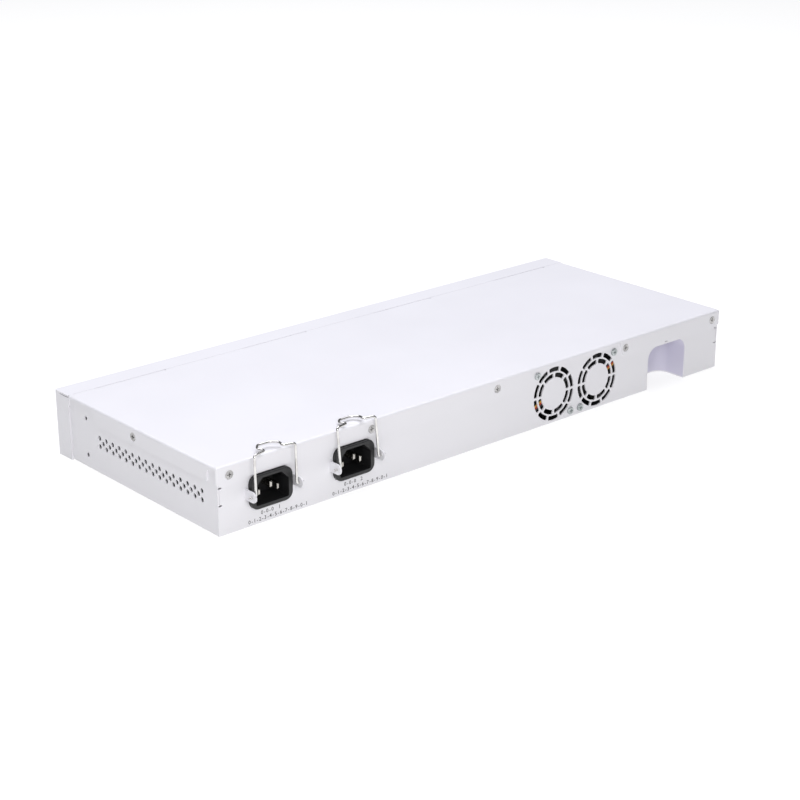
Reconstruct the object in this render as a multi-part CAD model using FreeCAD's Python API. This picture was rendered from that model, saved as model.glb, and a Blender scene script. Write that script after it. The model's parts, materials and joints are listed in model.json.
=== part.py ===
import FreeCAD, Part
import math
import os

# Rackmount network switch, 1U high.  Millimetres.
# X runs along the width, Y from the front panel (-Y) to the rear wall (+Y), Z up.
# The origin is the centre of the underside, on the face that the switch stands on.

V = FreeCAD.Vector

# ---- driving dimensions -------------------------------------------------
WIDTH = 443.0
DEPTH = 175.0
HEIGHT = 44.0
SHEET = 1.0                  # sheet steel thickness
BEND = 1.5                   # outside radius of the bends
TOP_BEND = 3.0               # outside radius of the front panel's top bend
LAP = 0.1                    # gap under a lapped sheet

TRAY_X = WIDTH / 2 - SHEET   # outer half width of the tray
WALL_Y = DEPTH / 2 - SHEET   # outer face of the tray's rear wall
FRONT_Y = -DEPTH / 2         # outer face of the front panel
TRAY_TOP = HEIGHT - SHEET - LAP
TRAY_FRONT = FRONT_Y + SHEET + LAP

SEAM_Y = -71.3               # rear edge of the front panel's side flanges
FLANGE_Z = 33.2              # lower edge of the cover's flanges

SCREW_R = 1.5                # M3
SCREW_Z = 37.8
REAR_SCREW_X = [212.3, 105.0, -1.3, -122.8, -213.4]
SIDE_SCREW_Y = 1.5

INLET_X = [183.2, 119.8]
INLET_Z = 22.0
INLET_W, INLET_H, INLET_R = 30.7, 21.5, 5.5
INLET_DROP = 0.25            # middle of the flange below the middle of the recess
INLET_PROUD = 2.0

WIRE_D = 1.6                 # bail wire
BAIL_Y = 93.5                # bail pivot
BAIL_HALF = 15.0
BAIL_UP = 25.5               # pivot to crossbar
BAIL_LEAN = [1.3, 6.5]       # degrees from upright towards the case, as each bail rests
HOOK_SHIFT = -0.8            # the hook is bent a little off the middle of its crossbar
EAR_IN = 16.8                # inner face of a bail ear, from the inlet's centre

FAN_X = [-54.3, -95.7]
FAN_Z = 21.1
FAN_SIZE = 40.0
FAN_DEPTH = 20.0
FAN_HOLE = 16.0              # screw offset from the fan's centre
FAN_BACK = WALL_Y - SHEET    # the fan frame's rear face
FAN_TURN = [0.0, 180.0]      # the second fan is fitted upside down

NOTCH_X0, NOTCH_X1 = -186.5, -147.4
NOTCH_Z = 30.8
NOTCH_Y = 63.0
NOTCH_R = 8.5

VENT_R = 1.6
VENT_PITCH = 7.26
VENT_ROWS = [(24.7, -38.2, 16), (21.9, -34.5, 15), (19.1, -38.2, 16)]
EAR_HOLE_Y = -53.1
EAR_HOLE_Z = [9.1, 33.8]
RIVETS = [(-78.0, 34.0), (-79.0, 9.3)]
TAB_X = [175.0, 58.3, -57.6, -175.0]
TAB_HALF = 26.8

BOARD_Z = 9.0                # underside of the main board
BOARD_T = 1.6
BOARD_TOP = BOARD_Z + BOARD_T
BOARD_X0, BOARD_X1 = -214.0, 84.0
BOARD_Y0, BOARD_Y1 = -84.0, 58.0
STRIP_X1, STRIP_Y1 = 134.0, -37.0

JACK_PITCH = 13.97
JACK_H, JACK_DEPTH = 13.4, 22.0
BLOCK_X = [-100.0, -8.0]
BLOCK_PORTS = 6
CONSOLE_X = -198.0
JACK_Y = FRONT_Y + 0.2       # front faces of jacks and cages
PLUG_W, PLUG_H, PLUG_DEEP = 11.8, 8.3, 14.0
SFP_X = [70.0, 86.25, 102.5, 118.75]
SFP_W, SFP_H, SFP_LEN, SFP_WALL = 14.2, 9.9, 46.0, 0.4
LED_X = [-182.0, -175.0, -168.0]
LED_Z = 19.0
RESET_X, RESET_Z = -155.0, 14.0

SUPPLY_X = INLET_X           # the two mains supplies, each behind its inlet
SUPPLY_HALF = 29.0
SUPPLY_Y0, SUPPLY_Y1 = -35.0, 60.0
SUPPLY_Z = 6.0
SUPPLY_TOP = SUPPLY_Z + BOARD_T

os.makedirs("parts", exist_ok=True)


# ---- helpers ------------------------------------------------------------
def box(x0, x1, y0, y1, z0, z1):
    return Part.makeBox(x1 - x0, y1 - y0, z1 - z0, V(x0, y0, z0))


def cyl(r, base, direction, length):
    return Part.makeCylinder(r, length, V(*base), V(*direction))


def tube(r_out, r_in, base, direction, length):
    return cyl(r_out, base, direction, length).cut(cyl(r_in, base, direction, length))


def cone(r0, r1, base, direction, length):
    return Part.makeCone(r0, r1, length, V(*base), V(*direction))


def join(shapes):
    return shapes[0].multiFuse(shapes[1:]).removeSplitter() if len(shapes) > 1 else shapes[0]


def group(shapes):
    """Separate solids that share one node."""
    return Part.makeCompound([s for shape in shapes for s in shape.Solids])


def prism(points, direction):
    """A closed outline, pushed along a direction."""
    corners = [V(*p) for p in points]
    return Part.Face(Part.makePolygon(corners + corners[:1])).extrude(V(*direction))


def rounded(shape, radius, test):
    edges = [e for e in shape.Edges if test(e)]
    return shape.makeFillet(radius, edges)


def runs_along(edge, axis):
    ends = edge.Vertexes
    if len(ends) != 2:
        return False
    d = ends[1].Point - ends[0].Point
    across = [abs(c) for i, c in enumerate((d.x, d.y, d.z)) if i != axis]
    return max(across) < 1e-6


def rounded_box(x0, x1, y0, y1, z0, z1, r, axis):
    """A box whose four edges along one axis are rounded."""
    return rounded(box(x0, x1, y0, y1, z0, z1), r, lambda e: runs_along(e, axis))


def wire_path(points, radii):
    """Straight runs joined by tangent arcs, one radius for each inner point."""
    pts = [V(*p) for p in points]
    edges = []
    start = pts[0]
    for i in range(1, len(pts) - 1):
        a = (pts[i - 1] - pts[i]).normalize()
        b = (pts[i + 1] - pts[i]).normalize()
        half = a.getAngle(b) / 2
        back_off = radii[i - 1] / math.tan(half)
        p0 = pts[i] + a * back_off
        p2 = pts[i] + b * back_off
        mid = (a + b).normalize()
        p1 = pts[i] + mid * (radii[i - 1] / math.sin(half) - radii[i - 1])
        edges.append(Part.LineSegment(start, p0).toShape())
        edges.append(Part.Arc(p0, p1, p2).toShape())
        start = p2
    edges.append(Part.LineSegment(start, pts[-1]).toShape())
    return Part.Wire(edges)


def round_wire(points, radii, diameter):
    """A round wire along a bent path."""
    path = wire_path(points, radii)
    along = V(*points[1]) - V(*points[0])
    ring = Part.Wire(Part.Circle(V(*points[0]), along, diameter / 2).toShape())
    return path.makePipeShell([ring], True, False)


def save(name, shape):
    shape.exportStep("parts/" + name + ".step")


# ---- the sheet-metal case ------------------------------------------------
def notch_space(grow):
    """The cable notch: an arch in the rear wall, rounded in plan."""
    x0, x1 = NOTCH_X0 - grow, NOTCH_X1 + grow
    arch = rounded(box(x0, x1, NOTCH_Y - 20, WALL_Y + 5, -30, NOTCH_Z + grow), NOTCH_R + grow,
                   lambda e: runs_along(e, 1) and e.BoundBox.ZMin > 0)
    plan = rounded(box(x0, x1, NOTCH_Y - grow, WALL_Y + 40, -40, NOTCH_Z + 20), NOTCH_R + grow,
                   lambda e: runs_along(e, 2) and e.BoundBox.YMax < WALL_Y)
    return arch.common(plan)


def ring_slot(r0, r1, middle_deg, span_deg):
    """One slot of a fan grille, pushed through the rear wall."""
    a0 = math.radians(middle_deg - span_deg / 2)
    a1 = math.radians(middle_deg + span_deg / 2)
    am = (a0 + a1) / 2

    def at(r, a):
        return V(r * math.cos(a), 0, r * math.sin(a))

    edges = [Part.Arc(at(r1, a0), at(r1, am), at(r1, a1)).toShape(),
             Part.LineSegment(at(r1, a1), at(r0, a1)).toShape(),
             Part.Arc(at(r0, a1), at(r0, am), at(r0, a0)).toShape(),
             Part.LineSegment(at(r0, a0), at(r1, a0)).toShape()]
    slot = Part.Face(Part.Wire(edges)).extrude(V(0, 4 * SHEET, 0))
    return rounded(slot, 1.1, lambda e: runs_along(e, 1))


def fan_grille(x):
    slots = [ring_slot(15.6, 18.75, 18 + 36 * k, 31.5) for k in range(10)]
    slots += [ring_slot(11.3, 14.5, 22.5 + 45 * k, 38.5) for k in range(8)]
    for slot in slots:
        slot.translate(V(x, WALL_Y - 2 * SHEET, FAN_Z))
    return slots


def fan_screw_places():
    """Two screws on one diagonal of each fan, mirrored on the second fan."""
    places = []
    for x, side in zip(FAN_X, (1, -1)):
        places += [(x + side * FAN_HOLE, FAN_Z + FAN_HOLE), (x - side * FAN_HOLE, FAN_Z - FAN_HOLE)]
    return places


def side_vents():
    holes = []
    for z, y0, count in VENT_ROWS:
        holes += [cyl(VENT_R, (-WIDTH, y0 + VENT_PITCH * k, z), (1, 0, 0), 2 * WIDTH) for k in range(count)]
    return holes


def standoff_places():
    main = [(x, y) for x in (-208.0, -60.0, 60.0) for y in (-56.0, 50.0)]
    main += [(-208.0, -2.0), (130.2, -56.0)]
    supply = [(x + s * (SUPPLY_HALF - 4), y) for x in SUPPLY_X for s in (-1, 1)
              for y in (SUPPLY_Y0 + 4, SUPPLY_Y1 - 4)]
    return [(x, y, BOARD_Z) for x, y in main] + [(x, y, SUPPLY_Z) for x, y in supply]


def bail_ear(x):
    """A lug folded out of the rear wall, with the hole that the bail turns in."""
    plate = box(x, x + SHEET, WALL_Y - 0.5, BAIL_Y, INLET_Z - 3.35, INLET_Z + 3.35)
    nose = cyl(3.35, (x, BAIL_Y, INLET_Z), (1, 0, 0), SHEET)
    return plate.fuse(nose).cut(cyl(WIRE_D / 2 + 0.07, (x - 1, BAIL_Y, INLET_Z), (1, 0, 0), 3))


def inlet_body(x, grow, y0, y1):
    """The part of the inlet that goes through the wall, with its two cut corners."""
    w, h, c = 13.5 + grow, 9.7 + grow, 4.5
    outline = [(x - w, y0, INLET_Z - h), (x + w, y0, INLET_Z - h), (x + w, y0, INLET_Z + h - c),
               (x + w - c, y0, INLET_Z + h), (x - w + c, y0, INLET_Z + h), (x - w, y0, INLET_Z + h - c)]
    return prism(outline, (0, y1 - y0, 0))


def relief_slot(x, z):
    """A short slot through the rear wall at the end of a bend or a slit."""
    return rounded_box(x - 1.1, x + 1.1, WALL_Y - 2, WALL_Y + 2, z - 0.4, z + 0.4, 0.35, 1)


def base_tray():
    outer = box(-TRAY_X, TRAY_X, TRAY_FRONT, WALL_Y, 0, TRAY_TOP)
    outer = rounded(outer, BEND, lambda e: e.BoundBox.ZMax < 0.1 and e.BoundBox.YMax > TRAY_FRONT + 1)
    inner = box(-TRAY_X + SHEET, TRAY_X - SHEET, TRAY_FRONT + SHEET, WALL_Y - SHEET, SHEET, HEIGHT)
    inner = rounded(inner, BEND - SHEET, lambda e: abs(e.BoundBox.ZMax - SHEET) < 0.01)
    tray = outer.cut(inner)
    cuts = [box(-WIDTH, WIDTH, FRONT_Y - 1, SEAM_Y - 1.7, 36.0, HEIGHT),
            box(-TRAY_X + SHEET, TRAY_X - SHEET, FRONT_Y - 1, TRAY_FRONT + SHEET, 7.0, HEIGHT),
            notch_space(0),
            relief_slot(-165.9, 32.6)]
    for x in FAN_X:
        cuts += fan_grille(x)
    cuts += [cyl(2.3, (x, WALL_Y - 2, z), (0, 1, 0), 4) for x, z in fan_screw_places()]
    cuts += [cyl(SCREW_R + 0.1, (x, WALL_Y - 2, SCREW_Z), (0, 1, 0), 4) for x in REAR_SCREW_X]
    cuts += [inlet_body(x, 0.2, WALL_Y - 2, WALL_Y + 2) for x in INLET_X]
    cuts += side_vents()
    cuts += [cyl(SCREW_R, (-WIDTH, EAR_HOLE_Y, z), (1, 0, 0), 2 * WIDTH) for z in EAR_HOLE_Z]
    cuts += [cyl(SCREW_R + 0.1, (-WIDTH, SIDE_SCREW_Y, SCREW_Z), (1, 0, 0), 2 * WIDTH)]
    cuts += [cyl(1.0, (-WIDTH, y, z), (1, 0, 0), 2 * WIDTH) for y, z in RIVETS]
    cuts += [cyl(2.1, (x, y, -1), (0, 0, 1), 3) for x, y, top in standoff_places()]
    for side in (-1, 1):
        corner = side * (TRAY_X - 1.2)
        cuts.append(box(corner - 0.1, corner + 0.1, WALL_Y - 2, WALL_Y + 1, 19.6, HEIGHT))
        cuts += [relief_slot(side * 218.7, z) for z in (19.6, 30.6)]
    tray = tray.cut(Part.makeCompound(cuts))
    ears = [bail_ear(x + side) for x in INLET_X for side in (EAR_IN, -EAR_IN - SHEET)]
    return join([tray] + ears)


def side_flange(x0):
    """The cover's side flange: a shallow lip with one deep tongue."""
    lip, top = HEIGHT - 2.2, HEIGHT - 0.5
    outline = [(x0, SEAM_Y + 0.1, top), (x0, SEAM_Y + 0.1, lip), (x0, -46.0, lip), (x0, -43.0, lip - 2),
               (x0, -43.0, FLANGE_Z), (x0, 78.0, FLANGE_Z), (x0, 78.0, lip - 2), (x0, 81.0, lip),
               (x0, WALL_Y + 0.5, lip), (x0, WALL_Y + 0.5, top)]
    plate = prism(outline, (SHEET, 0, 0))
    return rounded(plate, 1.8, lambda e: runs_along(e, 0) and abs(e.BoundBox.ZMin - FLANGE_Z) < 0.1)


def top_cover():
    shell = box(-WIDTH / 2, WIDTH / 2, SEAM_Y + 0.1, DEPTH / 2, FLANGE_Z, HEIGHT)
    shell = rounded(shell, BEND, lambda e: e.BoundBox.ZMin > HEIGHT - 0.1 and e.BoundBox.YMax > SEAM_Y + 1
                    or runs_along(e, 2) and e.BoundBox.YMin > 0)
    hollow = box(-TRAY_X, TRAY_X, SEAM_Y - 5, WALL_Y, FLANGE_Z - 1, HEIGHT - SHEET)
    cover = shell.cut(hollow)
    side_space = box(-WIDTH, WIDTH, SEAM_Y - 1, WALL_Y - 0.6, FLANGE_Z - 1, HEIGHT - SHEET)
    keep = group([side_flange(TRAY_X), side_flange(-TRAY_X - SHEET)])
    cover = cover.cut(side_space.cut(keep))
    fan_gap = [(-31.5, WALL_Y - 1, FLANGE_Z - 1), (-34.5, WALL_Y - 1, HEIGHT - 1.8),
               (-117.3, WALL_Y - 1, HEIGHT - 1.8), (-120.3, WALL_Y - 1, FLANGE_Z - 1)]
    cuts = [prism(fan_gap, (0, 3, 0))]
    for x in REAR_SCREW_X:
        cuts.append(cone(SCREW_R + 0.1, 2.95, (x, WALL_Y - 0.3, SCREW_Z), (0, 1, 0), SHEET + 0.31))
    for side in (-1, 1):
        seat = (side * (TRAY_X - 0.3), SIDE_SCREW_Y, SCREW_Z)
        cuts.append(cone(SCREW_R + 0.1, 2.95, seat, (side, 0, 0), SHEET + 0.31))
    tabs = []
    for x in TAB_X:
        tabs.append(box(x - TAB_HALF + 1, x + TAB_HALF - 0.5, SEAM_Y - 6, SEAM_Y + 5,
                        HEIGHT - 2 * SHEET, HEIGHT - SHEET))
        cuts.append(box(x - TAB_HALF, x + TAB_HALF, SEAM_Y - 1, SEAM_Y + 0.45, HEIGHT - SHEET, HEIGHT + 1))
        cuts.append(cyl(0.6, (x - TAB_HALF, SEAM_Y + 0.9, HEIGHT - 3), (0, 0, 1), 5))
    cover = cover.cut(Part.makeCompound(cuts))
    return join([cover] + tabs)


def panel_windows():
    """Openings in the front panel for jacks, cages, light pipes and the reset button."""
    y0, y1 = FRONT_Y - 1, TRAY_FRONT
    block_half = (BLOCK_PORTS * JACK_PITCH + 1) / 2 + 0.5
    jack_z0, jack_z1 = BOARD_TOP - 0.3, BOARD_TOP + JACK_H + 0.6
    cuts = [box(x - block_half, x + block_half, y0, y1, jack_z0, jack_z1) for x in BLOCK_X]
    half = JACK_PITCH / 2 + 1.0
    cuts.append(box(CONSOLE_X - half, CONSOLE_X + half, y0, y1, jack_z0, jack_z1))
    cuts += [box(x - SFP_W / 2 - 0.3, x + SFP_W / 2 + 0.3, y0, y1, BOARD_TOP - 0.3,
                 BOARD_TOP + SFP_H + 0.4) for x in SFP_X]
    cuts += [cyl(1.6, (x, y0, LED_Z), (0, 1, 0), 5) for x in LED_X]
    cuts += [cyl(1.1, (x, y0, BOARD_TOP + SFP_H + 4.0), (0, 1, 0), 5) for x in SFP_X]
    cuts.append(cyl(1.5, (RESET_X, y0, RESET_Z), (0, 1, 0), 5))
    return cuts


def front_panel():
    x = WIDTH / 2
    outer = box(-x, x, FRONT_Y, SEAM_Y, 0, HEIGHT)
    outer = rounded(outer, BEND, lambda e: abs(e.BoundBox.YMax - FRONT_Y) < 0.01 and runs_along(e, 2))
    outer = rounded(outer, TOP_BEND, lambda e: runs_along(e, 0) and e.BoundBox.ZMin > HEIGHT - 0.1
                    and e.BoundBox.YMax < FRONT_Y + 0.01)
    hollow = box(-TRAY_X, TRAY_X, FRONT_Y + SHEET, SEAM_Y + 1, -1, HEIGHT - SHEET)
    hollow = rounded(hollow, TOP_BEND - SHEET, lambda e: runs_along(e, 0)
                     and e.BoundBox.ZMin > HEIGHT - SHEET - 0.1 and e.BoundBox.YMax < FRONT_Y + SHEET + 0.01)
    panel = outer.cut(hollow)
    cuts = panel_windows()
    cuts.append(box(-WIDTH, WIDTH, SEAM_Y - 0.1, SEAM_Y + 1, HEIGHT - SHEET - 0.6, HEIGHT + 1))
    for side in (-1, 1):
        middle = side * (TRAY_X + SHEET / 2)
        cuts.append(box(middle - 0.7, middle + 0.7, FRONT_Y + BEND, SEAM_Y + 1,
                        HEIGHT - SHEET - 0.6, HEIGHT - SHEET))
        cuts.append(cyl(0.6, (middle - 1, SEAM_Y, 36.8), (1, 0, 0), 2))
        for y, z in RIVETS:
            cuts.append(cone(1.0, 1.9, (side * TRAY_X, y, z), (side, 0, 0), SHEET))
    return panel.cut(Part.makeCompound(cuts))


def front_panel_rivets():
    """Countersunk rivets that join the front panel to the tray's sides."""
    rivets = []
    for side in (-1, 1):
        for y, z in RIVETS:
            head = cone(0.98, 1.78, (side * TRAY_X, y, z), (side, 0, 0), SHEET - 0.08)
            stem = cyl(0.98, (side * (TRAY_X - 1.6), y, z), (side, 0, 0), 1.6)
            tail = cyl(1.7, (side * (TRAY_X - 1.6), y, z), (side, 0, 0), 0.58)
            rivets.append(join([head, stem, tail]))
    return group(rivets)


def cable_notch_liner():
    shell = notch_space(SHEET).cut(notch_space(0))
    return shell.common(box(NOTCH_X0 - 5, NOTCH_X1 + 5, NOTCH_Y - 5, WALL_Y - SHEET, SHEET, HEIGHT))


# ---- fasteners -----------------------------------------------------------
def cross_recess(size, depth):
    """A cross-shaped driver recess about +Z, its mouth at the origin."""
    arm = size / 5
    bars = [box(-size, size, -arm, arm, -depth, 1), box(-arm, arm, -size, size, -depth, 1)]
    return join(bars)


def pointed(shape, place, direction):
    """Turns a shape made about +Z to a direction and moves it to a place."""
    turned = shape.copy()
    turned.Placement = FreeCAD.Placement(V(*place), FreeCAD.Rotation(V(0, 0, 1), V(*direction)))
    return turned


def flat_screw():
    """M3 countersunk screw; its head's face is at the origin."""
    head = cone(1.48, 2.75, (0, 0, -0.9), (0, 0, 1), 0.9)
    shank = cyl(1.48, (0, 0, -6.0), (0, 0, 1), 5.2)
    return join([head, shank]).cut(cross_recess(1.5, 0.8))


def pan_screw(head_r, head_h, shank_r, length, rim):
    """Pan-head screw; the underside of its head is at the origin."""
    head = rounded(cyl(head_r, (0, 0, 0), (0, 0, 1), head_h), rim,
                   lambda e: e.BoundBox.ZMin > head_h - 0.1)
    shank = cyl(shank_r, (0, 0, -length), (0, 0, 1), length + 0.1)
    recess = cross_recess(head_r * 0.55, head_h * 0.6)
    recess.translate(V(0, 0, head_h))
    return join([head, shank]).cut(recess)


def rear_cover_screws():
    return group([pointed(flat_screw(), (x, DEPTH / 2 - 0.05, SCREW_Z), (0, 1, 0)) for x in REAR_SCREW_X])


def side_cover_screws():
    places = [((s * (WIDTH / 2 - 0.05), SIDE_SCREW_Y, SCREW_Z), (s, 0, 0)) for s in (-1, 1)]
    return group([pointed(flat_screw(), place, way) for place, way in places])


def clinch_nuts():
    """Nuts pressed into the tray's walls behind the cover screws."""
    nuts = [tube(3.1, SCREW_R, (x, WALL_Y - SHEET, SCREW_Z), (0, -1, 0), 2.4) for x in REAR_SCREW_X]
    nuts += [tube(3.1, SCREW_R, (s * (TRAY_X - SHEET), SIDE_SCREW_Y, SCREW_Z), (-s, 0, 0), 2.4) for s in (-1, 1)]
    return group(nuts)


def fan_screws():
    screw = pan_screw(2.6, 1.2, 2.1, 8.0, 0.6)
    return group([pointed(screw, (x, WALL_Y, z), (0, 1, 0)) for x, z in fan_screw_places()])


def board_standoffs():
    posts = []
    for x, y, top in standoff_places():
        post = prism([(x + 3 * math.cos(math.radians(a)), y + 3 * math.sin(math.radians(a)), SHEET)
                      for a in range(30, 390, 60)], (0, 0, top - SHEET))
        foot = cyl(2.05, (x, y, 0.05), (0, 0, 1), SHEET)
        posts.append(join([post, foot]).cut(cyl(SCREW_R, (x, y, 1.2), (0, 0, 1), top)))
    return group(posts)


def board_screws():
    screw = pan_screw(2.8, 1.9, 1.48, BOARD_T + 3.0, 0.7)
    return group([pointed(screw, (x, y, top + BOARD_T), (0, 0, 1)) for x, y, top in standoff_places()])


# ---- power inlets and bails ---------------------------------------------
def inlet_housing(x):
    """C14 inlet: flange outside the wall, body through it, recess with two cut corners."""
    flange = rounded_box(x - INLET_W / 2, x + INLET_W / 2, WALL_Y, DEPTH / 2 + INLET_PROUD,
                         INLET_Z - INLET_DROP - INLET_H / 2, INLET_Z - INLET_DROP + INLET_H / 2, INLET_R, 1)
    flange = rounded(flange, 0.7, lambda e: e.BoundBox.YMin > DEPTH / 2 + INLET_PROUD - 0.01)
    body = inlet_body(x, 0, WALL_Y - 16.5, WALL_Y + 1)
    w, h, c = 12.1, 8.5, 5.2
    y0, y1 = WALL_Y - 13.0, DEPTH / 2 + 5
    recess = prism([(x - w, y0, INLET_Z - h), (x + w, y0, INLET_Z - h), (x + w, y0, INLET_Z + h - c),
                    (x + w - c, y0, INLET_Z + h), (x - w + c, y0, INLET_Z + h),
                    (x - w, y0, INLET_Z + h - c)], (0, y1 - y0, 0))
    recess = rounded(recess, 1.2, lambda e: runs_along(e, 1))
    slots = [box(x + dx - 1.0, x + dx + 1.0, WALL_Y - 20, WALL_Y, z - 2.0, z + 2.0)
             for dx, z, _ in inlet_blade_places()]
    return join([flange, body]).cut(recess).cut(Part.makeCompound(slots))


def inlet_blade_places():
    """Across, height and tip of each blade; the earth blade reaches further out."""
    return [(7.0, INLET_Z - 1.9, WALL_Y - 0.5), (-7.0, INLET_Z - 1.9, WALL_Y - 0.5),
            (0.0, INLET_Z + 2.1, WALL_Y + 2.0)]


def inlet_pins(x):
    """Three blades, each going back through the housing as a solder tab."""
    blades = []
    for dx, z, tip in inlet_blade_places():
        blade = box(x + dx - 1, x + dx + 1, WALL_Y - 16.5, tip, z - 2, z + 2)
        blade = rounded(blade, 0.9, lambda e: e.BoundBox.YMin > tip - 0.1)
        tab = box(x + dx - 0.4, x + dx + 0.4, WALL_Y - 25.0, WALL_Y - 16.5, z - 2, z + 2)
        blades.append(join([blade, tab]))
    return group(blades)


def bail(x, lean):
    """Bent wire: pivot ends turned out through the ears, legs, and a crossbar with a round hook."""
    tip, half, top = EAR_IN + SHEET + 2.0, BAIL_HALF, INLET_Z + BAIL_UP
    hook = [(6.2, -2.4), (8.3, -7.6), (4.6, -12.1)]
    ring = [(half, 0.0)] + [(HOOK_SHIFT + a, b) for a, b in hook]
    ring += [(HOOK_SHIFT - a, b) for a, b in reversed(hook)] + [(-half, 0.0)]
    points = [(x + tip, BAIL_Y, INLET_Z), (x + half, BAIL_Y, INLET_Z)]
    points += [(x + a, BAIL_Y + b, top) for a, b in ring]
    points += [(x - half, BAIL_Y, INLET_Z), (x - tip, BAIL_Y, INLET_Z)]
    hook_radii = [1.5, 3.6, 3.6]
    radii = [1.3, 1.8] + hook_radii + list(reversed(hook_radii)) + [1.8, 1.3]
    wire = round_wire(points, radii, WIRE_D)
    wire.rotate(V(x, BAIL_Y, INLET_Z), V(1, 0, 0), lean)
    return wire


# ---- fans ----------------------------------------------------------------
STRUT_Y = FAN_BACK - 1.3     # rear face of the struts; the leads lie on it
LEAD_DEG = -25.0             # direction of the strut that carries the leads
LEAD_D = 1.1
LEAD_STEP = 1.35
HEADER_Y = 33.0              # rear faces of the fan headers


def placed_fan(shape, k):
    """Puts a shape made about the fan's own centre into fan 1 or fan 2."""
    moved = shape.copy()
    moved.rotate(V(0, 0, 0), V(0, 1, 0), FAN_TURN[k])
    moved.translate(V(FAN_X[k], 0, FAN_Z))
    return moved


def radial_box(r0, r1, half, y0, y1, deg):
    bar = box(r0, r1, y0, y1, -half, half)
    bar.rotate(V(0, 0, 0), V(0, 1, 0), -deg)
    return bar


def fan_frame():
    h, back, front = FAN_SIZE / 2, FAN_BACK, FAN_BACK - FAN_DEPTH
    rear_plate = rounded_box(-h, h, back - 3.5, back, -h, h, 2.5, 1)
    front_plate = rounded_box(-h, h, front, front + 3.0, -h, h, 2.5, 1)
    barrel = cyl(19.9, (0, front, 0), (0, 1, 0), FAN_DEPTH)
    posts = [cyl(3.4, (s * FAN_HOLE, front, t * FAN_HOLE), (0, 1, 0), FAN_DEPTH)
             for s in (-1, 1) for t in (-1, 1)]
    frame = join([rear_plate, front_plate, barrel] + posts)
    holes = [cyl(2.12, (s * FAN_HOLE, front - 1, t * FAN_HOLE), (0, 1, 0), FAN_DEPTH + 2)
             for s in (-1, 1) for t in (-1, 1)]
    frame = frame.cut(Part.makeCompound([cyl(18.9, (0, front - 1, 0), (0, 1, 0), FAN_DEPTH + 2)] + holes))
    hub = cyl(10.5, (0, STRUT_Y - 1.0, 0), (0, 1, 0), 1.0)
    struts = [radial_box(9.5, 19.2, 1.3, STRUT_Y - 1.0, STRUT_Y, LEAD_DEG + 90 * k) for k in (1, 2, 3)]
    struts.append(radial_box(9.5, 19.2, 2.2, STRUT_Y - 1.0, STRUT_Y, LEAD_DEG))
    bearing_tube = cyl(3.0, (0, FAN_BACK - 14.1, 0), (0, 1, 0), 12.0)
    frame = join([frame, hub, bearing_tube] + struts)
    bore = cyl(2.0, (0, FAN_BACK - 15, 0), (0, 1, 0), 12.7)
    lead_gate = radial_box(18.0, 26.0, 2.2, STRUT_Y, back + 1, LEAD_DEG)
    return frame.cut(bore).cut(lead_gate)


def fan_impeller():
    """Hub cup, open to the rear, with seven raked blades."""
    back = FAN_BACK - 2.9
    front = back - 15.2
    cup = cyl(11.0, (0, front, 0), (0, 1, 0), 15.2).cut(cyl(9.97, (0, front + 1.2, 0), (0, 1, 0), 20))
    boss = cyl(2.6, (0, front + 1.1, 0), (0, 1, 0), 2.4)
    blade = box(9.0, 21.0, -10.5, 10.5, -0.55, 0.55)
    blade.rotate(V(0, 0, 0), V(1, 0, 0), 52)
    blade.translate(V(0, (front + back) / 2, 0))
    reach = tube(18.2, 10.6, (0, front - 0.6, 0), (0, 1, 0), 15.6)
    blade = blade.common(reach)
    blades = []
    for k in range(7):
        one = blade.copy()
        one.rotate(V(0, 0, 0), V(0, 1, 0), k * 360.0 / 7)
        blades.append(one)
    return join([cup, boss] + blades).cut(cyl(1.01, (0, front - 1, 0), (0, 1, 0), 5))


def fan_shaft():
    return cyl(1.0, (0, FAN_BACK - 17.9, 0), (0, 1, 0), 15.2)


def fan_magnet_ring():
    return tube(9.95, 8.95, (0, FAN_BACK - 13.1, 0), (0, 1, 0), 9.8)


def fan_bearings():
    sleeve = [tube(1.98, 1.05, (0, FAN_BACK - d, 0), (0, 1, 0), 3.0) for d in (13.5, 6.5)]
    return group([placed_fan(s, k) for k in (0, 1) for s in sleeve])


def fan_stators():
    y0 = FAN_BACK - 11.7
    core = tube(5.0, 3.03, (0, y0, 0), (0, 1, 0), 8.0)
    arms = [radial_box(4.5, 8.0, 1.6, y0, y0 + 8, 90 * k) for k in range(4)]
    shoe = tube(8.6, 7.4, (0, y0, 0), (0, 1, 0), 8.0)
    shoes = [shoe.common(radial_box(6.0, 9.0, 4.2, y0, y0 + 8, 90 * k)) for k in range(4)]
    stator = join([core] + arms + shoes)
    return group([placed_fan(stator, k) for k in (0, 1)])


def fan_lead(index):
    """One lead of each fan: out along the strut, forward past the frame, into the header."""
    offset = (index - 1) * LEAD_STEP
    a = math.radians(LEAD_DEG)
    u, w = (math.cos(a), math.sin(a)), (-math.sin(a), math.cos(a))
    y = STRUT_Y + LEAD_D / 2 + 0.02
    x_out = FAN_SIZE / 2 + 1.9
    leads = []
    for k in (0, 1):
        turn = -1 if FAN_TURN[k] else 1
        start = (6 * u[0] + offset * w[0], 6 * u[1] + offset * w[1])
        reach = (x_out - start[0]) / u[0]
        bend = (x_out, start[1] + reach * u[1])
        flat = [(start, y), (bend, y), (bend, 70.0)]
        points = [(FAN_X[k] + turn * p[0], yy, FAN_Z + turn * p[1]) for p, yy in flat]
        points.append((points[-1][0], HEADER_Y + 6.0, BOARD_TOP + 5.2 + offset * turn))
        points.append((points[-1][0], HEADER_Y, points[-1][2]))
        leads.append(round_wire(points, [1.4, 10.0, 8.0], LEAD_D))
    return group(leads)


# ---- front ports ---------------------------------------------------------
def jack_ports(x_centre, count):
    first = x_centre - (count - 1) * JACK_PITCH / 2
    return [first + k * JACK_PITCH for k in range(count)]


PLUG_Z0 = BOARD_TOP + 2.6


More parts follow.
